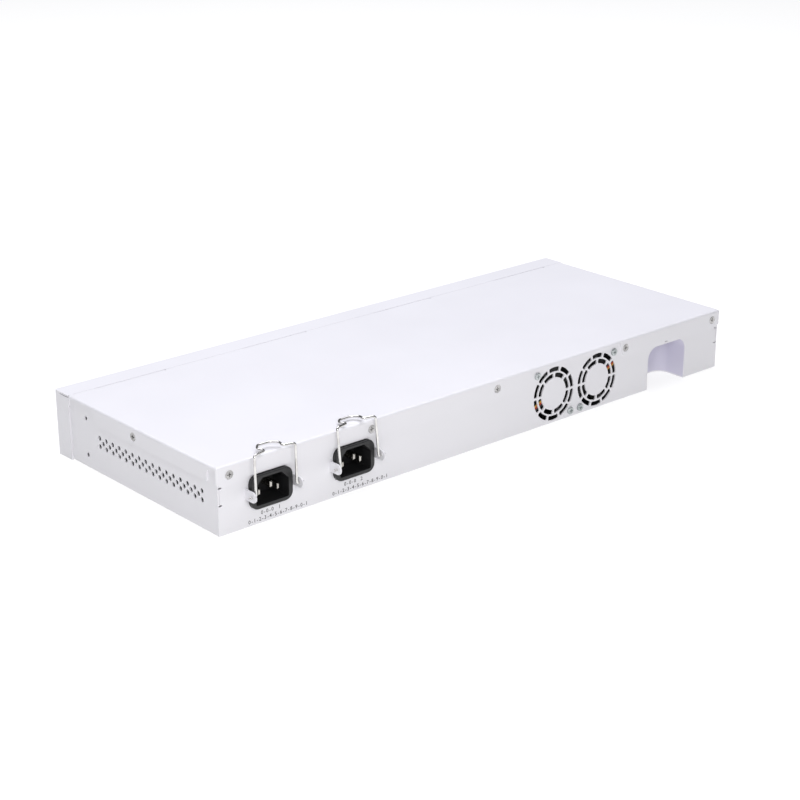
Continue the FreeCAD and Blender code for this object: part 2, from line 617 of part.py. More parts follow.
def jack_block(x_centre, count):
    """A row of RJ45 sockets, latch side down, with two light windows over each."""
    half = (count * JACK_PITCH + 0.2) / 2
    block = box(x_centre - half, x_centre + half, JACK_Y, JACK_Y + JACK_DEPTH, BOARD_TOP, BOARD_TOP + JACK_H)
    cuts = []
    for x in jack_ports(x_centre, count):
        cuts.append(box(x - PLUG_W / 2, x + PLUG_W / 2, JACK_Y - 1, JACK_Y + PLUG_DEEP, PLUG_Z0, PLUG_Z0 + PLUG_H))
        cuts.append(box(x - 3.2, x + 3.2, JACK_Y - 1, JACK_Y + 9, PLUG_Z0 - 1.5, PLUG_Z0 + 1))
        for s in (-1, 1):
            cuts.append(box(x + s * 4.3 - 1.4, x + s * 4.3 + 1.4, JACK_Y - 1, JACK_Y + 18,
                            PLUG_Z0 + PLUG_H + 0.6, PLUG_Z0 + PLUG_H + 2.0))
    return block.cut(Part.makeCompound(cuts))


def jack_shield(x_centre, count):
    """Folded tinplate over the top, sides and back of a jack block."""
    half = (count * JACK_PITCH + 0.2) / 2 + 0.05
    top = BOARD_TOP + JACK_H + 0.05
    outer = box(x_centre - half - 0.3, x_centre + half + 0.3, JACK_Y, JACK_Y + JACK_DEPTH + 0.35,
                BOARD_TOP + 0.2, top + 0.3)
    inner = box(x_centre - half, x_centre + half, JACK_Y - 1, JACK_Y + JACK_DEPTH + 0.05, BOARD_TOP, top)
    return outer.cut(inner)


def jack_contacts(x_centre, count):
    wires = []
    top = PLUG_Z0 + PLUG_H
    outline = [(JACK_Y + 3.0, top), (JACK_Y + 3.4, top), (JACK_Y + 10.6, top - 2.6), (JACK_Y + 13.9, top - 2.6),
               (JACK_Y + 13.9, top - 2.95), (JACK_Y + 10.4, top - 2.95)]
    for x in jack_ports(x_centre, count):
        for k in range(8):
            x0 = x + (k - 3.5) * 1.02 - 0.17
            wires.append(prism([(x0, y, z) for y, z in outline], (0.34, 0, 0)))
    return wires


def jack_light_pipes():
    pipes = []
    for centre in BLOCK_X:
        for x in jack_ports(centre, BLOCK_PORTS):
            pipes += [box(x + s * 4.3 - 1.3, x + s * 4.3 + 1.3, JACK_Y + 0.1, JACK_Y + 17.8,
                          PLUG_Z0 + PLUG_H + 0.7, PLUG_Z0 + PLUG_H + 1.9) for s in (-1, 1)]
    return pipes


def light_pipes():
    """Clear rods: two over each socket, one over each cage, three for status."""
    pipes = jack_light_pipes()
    z = BOARD_TOP + SFP_H + 4.0
    pipes += [cyl(1.0, (x, FRONT_Y - 0.1, z), (0, 1, 0), 12.0) for x in SFP_X]
    for x in LED_X:
        rod = cyl(1.5, (x, FRONT_Y - 0.1, LED_Z), (0, 1, 0), 9.0)
        leg = cyl(1.5, (x, FRONT_Y + 8.9, BOARD_TOP + 1.2), (0, 0, 1), LED_Z - BOARD_TOP - 1.2)
        elbow = Part.makeSphere(1.5, V(x, FRONT_Y + 8.9, LED_Z))
        pipes.append(join([rod, leg, elbow]))
    return group(pipes)


def board_leds():
    lamps = [box(x - 1.2, x + 1.2, FRONT_Y + 8.1, FRONT_Y + 9.7, BOARD_TOP, BOARD_TOP + 1.0) for x in LED_X]
    z = BOARD_TOP + SFP_H + 4.0
    lamps += [box(x - 1.3, x + 1.3, FRONT_Y + 12.0, FRONT_Y + 14.0, BOARD_TOP + SFP_H, z + 1.3) for x in SFP_X]
    return group(lamps)


def sfp_cages():
    """Folded cages with vent holes on top, open at the front."""
    cages = []
    for x in SFP_X:
        y1 = JACK_Y + SFP_LEN
        outer = box(x - SFP_W / 2, x + SFP_W / 2, JACK_Y, y1, BOARD_TOP, BOARD_TOP + SFP_H)
        w = SFP_WALL
        inner = box(x - SFP_W / 2 + w, x + SFP_W / 2 - w, JACK_Y - 1, y1 - w, BOARD_TOP + w, BOARD_TOP + SFP_H - w)
        under = box(x - SFP_W / 2 + 2, x + SFP_W / 2 - 2, y1 - 12, y1 - 2, BOARD_TOP - 1, BOARD_TOP + 1)
        holes = [cyl(0.9, (x + dx, JACK_Y + 12 + 4 * k, BOARD_TOP + SFP_H - 2), (0, 0, 1), 4)
                 for dx in (-4, 0, 4) for k in range(7)]
        cages.append(outer.cut(Part.makeCompound([inner, under] + holes)))
    return group(cages)


def sfp_connectors():
    plugs = []
    for x in SFP_X:
        y1 = JACK_Y + SFP_LEN - 2.5
        plug = box(x - 5.0, x + 5.0, y1 - 8, y1, BOARD_TOP + 0.01, BOARD_TOP + 6.0)
        plugs.append(plug.cut(box(x - 4.6, x + 4.6, y1 - 9, y1 - 2, BOARD_TOP + 2.2, BOARD_TOP + 3.8)))
    return group(plugs)


# ---- main board ----------------------------------------------------------
CHIP_X, CHIP_Y = -20.0, -14.0
CPU_X, CPU_Y = -128.0, -8.0


def main_board():
    board = join([box(BOARD_X0, BOARD_X1, BOARD_Y0, BOARD_Y1, BOARD_Z, BOARD_TOP),
                  box(BOARD_X1 - 1, STRIP_X1, BOARD_Y0, STRIP_Y1, BOARD_Z, BOARD_TOP)])
    holes = [cyl(1.7, (x, y, BOARD_Z - 1), (0, 0, 1), 4) for x, y, top in standoff_places() if top == BOARD_Z]
    return board.cut(Part.makeCompound(holes))


def chip(x, y, side, height):
    return box(x - side / 2, x + side / 2, y - side / 2, y + side / 2, BOARD_TOP, BOARD_TOP + height)


def memory_chips():
    places = [(-168.0, -20.0), (-168.0, 2.0), (-150.0, 26.0), (-128.0, 26.0), (-88.0, 14.0)]
    return group([box(x - 5, x + 5, y - 7, y + 7, BOARD_TOP, BOARD_TOP + 1.1) for x, y in places])


def finned_sink(x, y, side, z0, height, fins):
    """Extruded heat sink: base plate and upright fins along Y."""
    base = box(x - side / 2, x + side / 2, y - side / 2, y + side / 2, z0, z0 + 3)
    gap = (side - 1.2) / (fins - 1)
    blades = [box(x - side / 2 + k * gap, x - side / 2 + k * gap + 1.2, y - side / 2, y + side / 2,
                  z0 + 2.9, z0 + height) for k in range(fins)]
    return join([base] + blades)


def board_capacitors():
    places = [(40.0 + 9 * k, 30.0) for k in range(4)] + [(-190.0, 20.0 + 10 * k) for k in range(3)]
    places += [(20.0 + 9 * k, 50.0) for k in range(3)]
    return group([rounded(cyl(4.0, (x, y, BOARD_TOP), (0, 0, 1), 11.5), 0.6,
                          lambda e: e.BoundBox.ZMin > BOARD_TOP + 11) for x, y in places])


def board_headers():
    """White headers for the fan leads, the mains leads and the low-voltage leads."""
    fan_x = [FAN_X[0] + FAN_SIZE / 2 + 1.9, FAN_X[1] - FAN_SIZE / 2 - 1.9]
    headers = [box(x - 3.5, x + 3.5, HEADER_Y - 7, HEADER_Y, BOARD_TOP, BOARD_TOP + 8.5) for x in fan_x]
    headers += [box(x - 10, x + 10, 39.5, 47.5, SUPPLY_TOP, SUPPLY_TOP + 8) for x in SUPPLY_X]
    for supply_x, supply_y, main_x in dc_runs():
        headers.append(box(supply_x - 3.5, supply_x + 3.5, supply_y - 5, supply_y + 5, SUPPLY_TOP, SUPPLY_TOP + 8))
        headers.append(box(main_x - 3.5, main_x + 3.5, supply_y - 5, supply_y + 5, BOARD_TOP, BOARD_TOP + 7))
    return group(headers)


def reset_switch():
    body = box(RESET_X - 3.2, RESET_X + 3.2, FRONT_Y + 4.0, FRONT_Y + 8.0, BOARD_TOP, RESET_Z + 3.2)
    return body.cut(cyl(1.28, (RESET_X, FRONT_Y + 3, RESET_Z), (0, 1, 0), 4.0))


def reset_button():
    stem = cyl(1.2, (RESET_X, FRONT_Y + 1.3, RESET_Z), (0, 1, 0), 4.2)
    return rounded(stem, 0.3, lambda e: e.BoundBox.YMax < FRONT_Y + 1.4)


# ---- mains supplies ------------------------------------------------------
def dc_runs():
    """Supply end and main-board end of each low-voltage pair."""
    return [(SUPPLY_X[0] - 14.0, -28.0, 76.0), (SUPPLY_X[1] - 14.0, -15.0, 76.0)]


def power_boards():
    boards = []
    for x in SUPPLY_X:
        board = box(x - SUPPLY_HALF, x + SUPPLY_HALF, SUPPLY_Y0, SUPPLY_Y1, SUPPLY_Z, SUPPLY_TOP)
        holes = [cyl(1.7, (x + s * (SUPPLY_HALF - 4), y, SUPPLY_Z - 1), (0, 0, 1), 4)
                 for s in (-1, 1) for y in (SUPPLY_Y0 + 4, SUPPLY_Y1 - 4)]
        boards.append(board.cut(Part.makeCompound(holes)))
    return group(boards)


def power_insulators():
    sheets = []
    for x in SUPPLY_X:
        sheet = box(x - SUPPLY_HALF, x + SUPPLY_HALF, SUPPLY_Y0, SUPPLY_Y1, SHEET, SHEET + 0.4)
        holes = [cyl(3.6, (x + s * (SUPPLY_HALF - 4), y, 0), (0, 0, 1), 4)
                 for s in (-1, 1) for y in (SUPPLY_Y0 + 4, SUPPLY_Y1 - 4)]
        sheets.append(sheet.cut(Part.makeCompound(holes)))
    return group(sheets)


def power_transformers():
    """Ferrite frame with a winding through it."""
    cores = []
    for x in SUPPLY_X:
        cx, cy, z = x + 4.0, 4.0, SUPPLY_TOP
        core = box(cx - 14, cx + 14, cy - 6, cy + 6, z + 1, z + 26)
        core = core.cut(box(cx - 9, cx + 9, cy - 7, cy + 7, z + 6, z + 21))
        winding = rounded_box(cx - 8.8, cx + 8.8, cy - 11, cy + 11, z + 6.2, z + 20.8, 3.0, 0)
        feet = box(cx - 10, cx + 10, cy - 4, cy + 4, z, z + 1)
        cores.append(join([core, winding, feet]))
    return group(cores)


def power_capacitors():
    cans = []
    for x in SUPPLY_X:
        for dx, y, r, h in ((-17.0, 20.0, 9.0, 28.0), (18.0, -24.0, 4.0, 16.0), (6.0, -24.0, 4.0, 16.0)):
            can = cyl(r, (x + dx, y, SUPPLY_TOP), (0, 0, 1), h)
            cans.append(rounded(can, 0.8, lambda e: e.BoundBox.ZMin > SUPPLY_TOP + 10))
    return group(cans)


def power_heat_sinks():
    plates = []
    for x in SUPPLY_X:
        for dx, y0, y1 in ((25.5, -12.0, 26.0), (-26.0, -9.0, 9.0)):
            plate = box(x + dx - 1.5, x + dx + 1.5, y0, y1, SUPPLY_TOP, SUPPLY_TOP + 26)
            side = -1 if dx > 0 else 1
            x0 = x + dx + (-7.0 if side < 0 else 1.4)
            foot = box(x0, x0 + 5.6, y0, y1, SUPPLY_TOP + 24, SUPPLY_TOP + 26)
            plates.append(join([plate, foot]))
    return group(plates)


def power_line_chokes():
    """Toroid chokes standing on the supply boards."""
    return group([Part.makeTorus(6.5, 3.2, V(x + 6, 29.0, SUPPLY_TOP + 9.7), V(0, 1, 0)) for x in SUPPLY_X])


def inlet_wire(blade):
    """Line or neutral: from the inlet's tab forward, then down into the board header."""
    dx, z = inlet_blade_places()[blade][:2]
    y0, y1 = WALL_Y - 25.0, 43.5
    return group([round_wire([(x + dx, y0, z), (x + dx, y1, z), (x + dx, y1, SUPPLY_TOP + 8)],
                             [3.6], 2.2) for x in INLET_X])


def earth_wires():
    """Earth: from the inlet's tab sideways and down to a lug on the floor."""
    wires = []
    for x in INLET_X:
        dx, z = inlet_blade_places()[2][:2]
        y0, side = WALL_Y - 25.0, x - 23.5
        wires.append(round_wire([(x + dx, y0, z), (x + dx, 54.0, z), (side, 54.0, z), (side, 74.0, z - 4),
                                 (side, 74.0, 3.0)], [3.5, 3.5, 5.0], 2.2))
    return group(wires)


def earth_studs():
    studs = []
    for x in INLET_X:
        stud = join([cyl(2.0, (x - 23.5, 79.0, SHEET), (0, 0, 1), 7.0),
                     cyl(3.9, (x - 23.5, 79.0, 3.0), (0, 0, 1), 2.4),
                     rounded_box(x - 27.0, x - 20.0, 70.5, 82.5, 1.8, 3.0, 3.0, 2)])
        studs.append(stud)
    return group(studs)


def dc_wires(offset):
    """One colour of the low-voltage pair of each supply."""
    wires = []
    for supply_x, supply_y, main_x in dc_runs():
        y, top = supply_y + offset, 28.0 + offset / 2
        wires.append(round_wire([(supply_x, y, SUPPLY_TOP + 8), (supply_x, y, top), (main_x, y, top),
                                 (main_x, y, BOARD_TOP + 7)], [4.0, 4.0], 2.0))
    return group(wires)


# ---- write every node ----------------------------------------------------
save("base_tray", base_tray())
save("top_cover", top_cover())
save("front_panel", front_panel())
save("front_panel_rivets", front_panel_rivets())
save("cable_notch_liner", cable_notch_liner())
save("rear_cover_screws", rear_cover_screws())
save("side_cover_screws", side_cover_screws())
save("clinch_nuts", clinch_nuts())
save("fan_screws", fan_screws())
save("board_standoffs", board_standoffs())
save("board_screws", board_screws())

for k in (0, 1):
    save("inlet_%d_housing" % (k + 1), inlet_housing(INLET_X[k]))
    save("inlet_%d_pins" % (k + 1), inlet_pins(INLET_X[k]))
    save("bail_%d" % (k + 1), bail(INLET_X[k], BAIL_LEAN[k]))

for k in (0, 1):
    save("fan_%d_frame" % (k + 1), placed_fan(fan_frame(), k))
    save("fan_%d_impeller" % (k + 1), placed_fan(fan_impeller(), k))
    save("fan_%d_magnet_ring" % (k + 1), placed_fan(fan_magnet_ring(), k))
    save("fan_%d_shaft" % (k + 1), placed_fan(fan_shaft(), k))
save("fan_bearings", fan_bearings())
save("fan_stators", fan_stators())
for index, colour in enumerate(("black", "red", "yellow")):
    save("fan_leads_" + colour, fan_lead(index))

for number, centre in enumerate(BLOCK_X, 1):
    save("rj45_block_%d" % number, jack_block(centre, BLOCK_PORTS))
save("console_jack", jack_block(CONSOLE_X, 1))
save("rj45_shields", group([jack_shield(x, BLOCK_PORTS) for x in BLOCK_X] + [jack_shield(CONSOLE_X, 1)]))
save("rj45_contacts", group(jack_contacts(BLOCK_X[0], BLOCK_PORTS) + jack_contacts(BLOCK_X[1], BLOCK_PORTS)
                            + jack_contacts(CONSOLE_X, 1)))
save("sfp_cages", sfp_cages())
save("sfp_connectors", sfp_connectors())
save("light_pipes", light_pipes())
save("board_leds", board_leds())
save("reset_switch", reset_switch())
save("reset_button", reset_button())

save("main_board", main_board())
save("main_chips", group([chip(CHIP_X, CHIP_Y, 27.0, 2.0), chip(CPU_X, CPU_Y, 21.0, 2.0)]))
save("memory_chips", memory_chips())
save("switch_heat_sink", finned_sink(CHIP_X, CHIP_Y, 52.0, BOARD_TOP + 2.0, 22.0, 14))
save("processor_heat_sink", finned_sink(CPU_X, CPU_Y, 38.0, BOARD_TOP + 2.0, 18.0, 11))
save("board_capacitors", board_capacitors())
save("board_headers", board_headers())

save("power_boards", power_boards())
save("power_insulators", power_insulators())
save("power_transformers", power_transformers())
save("power_capacitors", power_capacitors())
save("power_heat_sinks", power_heat_sinks())
save("power_line_chokes", power_line_chokes())
save("inlet_wires_brown", inlet_wire(0))
save("inlet_wires_blue", inlet_wire(1))
save("earth_wires", earth_wires())
save("earth_studs", earth_studs())
save("dc_wires_red", dc_wires(1.8))
save("dc_wires_black", dc_wires(-1.8))
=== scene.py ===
import bpy
import json
import math
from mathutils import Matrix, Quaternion, Vector


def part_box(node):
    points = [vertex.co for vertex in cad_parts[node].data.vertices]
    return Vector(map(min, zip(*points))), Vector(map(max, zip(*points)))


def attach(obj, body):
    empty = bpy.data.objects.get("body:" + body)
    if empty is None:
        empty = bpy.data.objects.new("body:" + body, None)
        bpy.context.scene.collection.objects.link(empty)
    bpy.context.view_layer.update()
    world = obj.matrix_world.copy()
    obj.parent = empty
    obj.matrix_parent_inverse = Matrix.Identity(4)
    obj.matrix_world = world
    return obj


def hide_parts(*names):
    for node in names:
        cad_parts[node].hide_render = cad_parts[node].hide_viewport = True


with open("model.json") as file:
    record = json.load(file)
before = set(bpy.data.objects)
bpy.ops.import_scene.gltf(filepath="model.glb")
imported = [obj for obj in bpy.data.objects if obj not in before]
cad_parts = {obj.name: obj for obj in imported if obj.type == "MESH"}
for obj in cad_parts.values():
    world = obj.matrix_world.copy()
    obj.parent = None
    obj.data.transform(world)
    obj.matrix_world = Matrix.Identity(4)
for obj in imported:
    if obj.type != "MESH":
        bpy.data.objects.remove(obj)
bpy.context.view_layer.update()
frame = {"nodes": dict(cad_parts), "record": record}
MM = 0.001                                   # lengths below are in millimetres

# ---- the view --------------------------------------------------------------
VIEW_AZIMUTH, VIEW_ELEVATION, VIEW_ROLL = math.radians(139.002), math.radians(20.764), math.radians(-0.19)
VIEW_BACK = Vector((math.sin(VIEW_AZIMUTH) * math.cos(VIEW_ELEVATION),
                    -math.cos(VIEW_AZIMUTH) * math.cos(VIEW_ELEVATION), math.sin(VIEW_ELEVATION)))
VIEW_RIGHT = Vector((0, 0, 1)).cross(VIEW_BACK).normalized()
VIEW_PLACE = VIEW_BACK * 1.28047 + VIEW_RIGHT * -0.004656 + VIEW_BACK.cross(VIEW_RIGHT) * 0.005262
VIEW_LENS = 84.203

# ---- the case --------------------------------------------------------------
SHEET = 1.0
BEND, TOP_BEND = 1.5, 3.0
BEND_STEPS = 8
TRAY_FRONT, TRAY_TOP, TRAY_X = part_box("base_tray")[0].y / MM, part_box("base_tray")[1].z / MM, 220.5
COVER_LOW, COVER_HIGH = (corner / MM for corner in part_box("top_cover"))
PANEL_LOW, PANEL_HIGH = (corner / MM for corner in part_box("front_panel"))
HALF = COVER_HIGH.x                          # outer half width
HEIGHT = COVER_HIGH.z
REAR_Y = COVER_HIGH.y                        # outer face of the cover's rear flange
WALL_Y = REAR_Y - SHEET                      # outer face of the tray's rear wall
FRONT_Y = PANEL_LOW.y
SEAM_Y = PANEL_HIGH.y
FLANGE_Z = COVER_LOW.z
ROUND_SIDES = 40
VENT_SIDES = 32

SCREW_HOLE_R, SINK_R, SCREW_Z = 1.6, 2.95, 37.8
REAR_SCREW_X = [212.3, 105.0, -1.3, -122.8, -213.4]
SIDE_SCREW_Y = 1.5
TAB_X, TAB_HALF = [175.0, 58.3, -57.6, -175.0], 26.8
INLET_X, INLET_Z = [183.2, 119.8], 22.0
BAIL_Y, EAR_IN, EAR_R, EAR_HOLE = 93.5, 16.8, 3.35, 0.87
FAN_X, FAN_Z, FAN_HOLE, FAN_SCREW_HOLE = [-54.3, -95.7], 21.1, 16.0, 2.3
OUTER_SLOTS = (15.6, 18.75, 10, 18.0, 31.5)  # inner and outer radius, number, first angle, span
INNER_SLOTS = (11.3, 14.5, 8, 22.5, 38.5)
NOTCH_X0, NOTCH_X1, NOTCH_Y, NOTCH_Z, NOTCH_R = -186.5, -147.4, 63.0, 30.8, 8.5
VENT_R, VENT_PITCH = 1.6, 7.26
VENT_ROWS = [(24.7, -38.2, 16), (21.9, -34.5, 15), (19.1, -38.2, 16)]
RACK_HOLE_Y, RACK_HOLE_Z, RACK_HOLE_R = -53.1, [9.1, 33.8], 1.5
RIVETS = [(-78.0, 34.0), (-79.0, 9.3)]
STANDOFFS = [(x, y) for x in (-208.0, -60.0, 60.0) for y in (-56.0, 50.0)] + [(-208.0, -2.0), (130.2, -56.0)]
STANDOFFS += [(x + s * 25.0, y) for x in INLET_X for s in (-1, 1) for y in (-31.0, 56.0)]
STANDOFF_R = 2.1

BOARD_TOP = 10.6
PORT_PITCH, PORT_COUNT, BLOCK_X, CONSOLE_X = 13.97, 6, [-100.0, -8.0], -198.0
JACK_H = 13.4
CAGE_X, CAGE_W, CAGE_H = [70.0, 86.25, 102.5, 118.75], 14.2, 9.9
STATUS_X, STATUS_Z = [-182.0, -175.0, -168.0], 19.0
RESET_X, RESET_Z = -155.0, 14.0

RELIEF_W, RELIEF_H, RELIEF_R = 2.6, 1.0, 0.4
RELIEF_X, RELIEF_Z = 218.7, (19.6, 30.6)
CORNER_SLIT_X = TRAY_X - 1.2
LATCH_SLOT = (-165.9, 32.6)
FRONT_LIP = 7                                # height of the tray's low front lip
FOLD_SLIT_START = 6.0                        # from the front face to the slit under the top fold
FRONT_PRINT, FRONT_PRINT_Z = 2.8, 28.0       # size and height of the characters
REAR_PRINT, REAR_SPREAD = 3.3, 1.35


# ---- workshop ----------------------------------------------------------------
def only(piece):
    """Selects one piece and nothing else."""
    bpy.ops.object.select_all(action="DESELECT")
    bpy.context.view_layer.objects.active = piece
    piece.select_set(True)


def settle(name):
    """Names the new primitive and puts its place and size into its mesh."""
    piece = bpy.context.object
    piece.name = name
    bpy.ops.object.transform_apply(location=True, rotation=True, scale=True)
    return piece


def block(name, low, high):
    """A rectangular block between two corners."""
    low, high = Vector(low) * MM, Vector(high) * MM
    bpy.ops.object.select_all(action="DESELECT")
    bpy.ops.mesh.primitive_cube_add(size=1, location=(low + high) / 2)
    bpy.context.object.scale = high - low
    return settle(name)


def drum(name, radius, base, axis, length, sides, end_radius=None):
    """A round bar, or a cone, from its base along an axis."""
    axis = Vector(axis)
    bpy.ops.object.select_all(action="DESELECT")
    bpy.ops.mesh.primitive_cone_add(
        vertices=sides, radius1=radius * MM, radius2=(end_radius or radius) * MM, depth=length * MM,
        location=(Vector(base) + axis * length / 2) * MM)
    bpy.context.object.rotation_euler = axis.to_track_quat("Z", "Y").to_euler()
    return settle(name)


def plate(name, outline, push):
    """A flat outline pushed into a plate."""
    bpy.ops.object.select_all(action="DESELECT")
    bpy.ops.mesh.primitive_circle_add(vertices=len(outline), radius=1, fill_type="NGON")
    piece = bpy.context.object
    piece.name = name
    for corner, place in zip(piece.data.vertices, outline):
        corner.co = Vector(place) * MM
    bpy.ops.object.mode_set(mode="EDIT")
    bpy.ops.mesh.select_all(action="SELECT")
    bpy.ops.mesh.extrude_region_move(TRANSFORM_OT_translate={"value": Vector(push) * MM})
    bpy.ops.mesh.select_all(action="SELECT")
    bpy.ops.mesh.normals_make_consistent(inside=False)
    bpy.ops.object.mode_set(mode="OBJECT")
    return piece


def round_off(piece, radius, chosen, steps):
    """Rounds the edges whose two ends pass the test."""
    only(piece)
    bpy.ops.object.mode_set(mode="EDIT")
    bpy.ops.mesh.select_mode(type="EDGE")
    bpy.ops.mesh.select_all(action="DESELECT")
    bpy.ops.object.mode_set(mode="OBJECT")
    for edge in piece.data.edges:
        a, b = (piece.data.vertices[i].co / MM for i in edge.vertices)
        edge.select = chosen(a, b)
    bpy.ops.object.mode_set(mode="EDIT")
    bpy.ops.mesh.bevel(offset=radius * MM, segments=steps, affect="EDGES")
    bpy.ops.object.mode_set(mode="OBJECT")
    return piece


def runs(a, b, axis):
    """True where an edge runs along one axis."""
    return all(abs(a[i] - b[i]) < 0.001 for i in range(3) if i != axis)


def joined(pieces):
    """Several closed pieces as one object."""
    bpy.ops.object.select_all(action="DESELECT")
    for piece in pieces:
        piece.select_set(True)
    bpy.context.view_layer.objects.active = pieces[0]
    if len(pieces) > 1:
        bpy.ops.object.join()
    return pieces[0]


def combined(piece, operation, others):
    """Cuts other pieces out of one, adds them, or keeps what they share."""
    tool = joined(others)
    only(piece)
    step = piece.modifiers.new(operation, "BOOLEAN")
    step.operation = operation
    step.solver = "EXACT"
    step.use_self = len(others) > 1
    step.object = tool
    bpy.ops.object.modifier_apply(modifier=step.name)
    bpy.data.objects.remove(tool)
    return piece


def eased(piece, width, sharpest=40):
    """Takes the sharpness off sheared edges and shades the bends smooth."""
    only(piece)
    weld = piece.modifiers.new("Weld", "WELD")
    weld.merge_threshold = 0.001 * MM
    bpy.ops.object.modifier_apply(modifier=weld.name)
    edge = piece.modifiers.new("Sheared edge", "BEVEL")
    edge.width = width * MM
    edge.segments = 2
    edge.limit_method = "ANGLE"
    edge.angle_limit = math.radians(sharpest)
    edge.use_clamp_overlap = True
    bpy.ops.object.modifier_apply(modifier=edge.name)
    bpy.ops.object.shade_smooth_by_angle(angle=math.radians(sharpest))
    flat = piece.modifiers.new("Flat faces stay flat", "WEIGHTED_NORMAL")
    flat.keep_sharp = True
    bpy.ops.object.modifier_apply(modifier=flat.name)
    return piece


def fitted(piece, body, slot, *nodes):
    """Gives a finished piece its finish, its body and the nodes that it stands for."""
    piece.data.materials.clear()
    piece.data.materials.append(finishes[slot])
    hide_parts(*nodes)
    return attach(piece, body)


# ---- finishes --------------------------------------------------------------
def white_powder_coat(name, colour, roughness):
    """Smooth semi-gloss powder coat on folded steel: faint orange peel, a little more matt in patches."""
    finish = bpy.data.materials.new(name)
    finish.use_nodes = True
    nodes, links = finish.node_tree.nodes, finish.node_tree.links
    nodes.clear()
    film = nodes.new("NodeFrame")
    film.label = "Coating film"
    peel = nodes.new("NodeFrame")
    peel.label = "Orange peel"
    handling = nodes.new("NodeFrame")
    handling.label = "Cure and handling marks"
    place = nodes.new("ShaderNodeTexCoord")
    place.label = "Place on the case"
    ripple = nodes.new("ShaderNodeTexNoise")
    ripple.label = "Slow ripple of the film"
    grain = nodes.new("ShaderNodeTexNoise")
    grain.label = "Fine powder grain"
    relief = nodes.new("ShaderNodeMath")
    relief.label = "Ripple with grain"
    peel_bump = nodes.new("ShaderNodeBump")
    peel_bump.label = "Peel height"
    cloud = nodes.new("ShaderNodeTexNoise")
    cloud.label = "Patches of the cure"
    tone = nodes.new("ShaderNodeValToRGB")
    tone.label = "White of the coat"
    sheen_range = nodes.new("ShaderNodeMapRange")
    sheen_range.label = "Matt and glossy patches"
    coat = nodes.new("ShaderNodeBsdfPrincipled")
    coat.label = "White powder coat"
    output = nodes.new("ShaderNodeOutputMaterial")
    output.label = "Case surface"
    for node in (ripple, grain, relief, peel_bump):
        node.parent = peel
    for node in (cloud, tone, sheen_range):
        node.parent = handling
    coat.parent = film
    for i, node in enumerate((place, ripple, grain, relief, peel_bump, cloud, tone, sheen_range,
                              coat, output)):
        node.location = (220 * i, -140 * (i % 3))
    ripple.inputs["Scale"].default_value = 260
    ripple.inputs["Detail"].default_value = 2
    grain.inputs["Scale"].default_value = 1900
    grain.inputs["Detail"].default_value = 3
    relief.operation = "MULTIPLY_ADD"
    relief.inputs[1].default_value = 0.35
    peel_bump.inputs["Strength"].default_value = 0.22
    peel_bump.inputs["Distance"].default_value = 0.00006
    cloud.inputs["Scale"].default_value = 14
    cloud.inputs["Detail"].default_value = 4
    tone.color_ramp.elements[0].position = 0.3
    tone.color_ramp.elements[0].color = (*[c * 0.975 for c in colour], 1)
    tone.color_ramp.elements[1].position = 0.7
    tone.color_ramp.elements[1].color = (*colour, 1)
    sheen_range.inputs["To Min"].default_value = roughness - 0.04
    sheen_range.inputs["To Max"].default_value = roughness + 0.05
    coat.inputs["IOR"].default_value = 1.5
    links.new(place.outputs["Object"], ripple.inputs["Vector"])
    links.new(place.outputs["Object"], grain.inputs["Vector"])
    links.new(place.outputs["Object"], cloud.inputs["Vector"])
    links.new(grain.outputs["Fac"], relief.inputs[0])
    links.new(ripple.outputs["Fac"], relief.inputs[2])
    links.new(relief.outputs["Value"], peel_bump.inputs["Height"])
    links.new(peel_bump.outputs["Normal"], coat.inputs["Normal"])
    links.new(cloud.outputs["Fac"], tone.inputs["Fac"])
    links.new(tone.outputs["Color"], coat.inputs["Base Color"])
    links.new(cloud.outputs["Fac"], sheen_range.inputs["Value"])
    links.new(sheen_range.outputs["Result"], coat.inputs["Roughness"])
    links.new(coat.outputs["BSDF"], output.inputs["Surface"])
    return finish


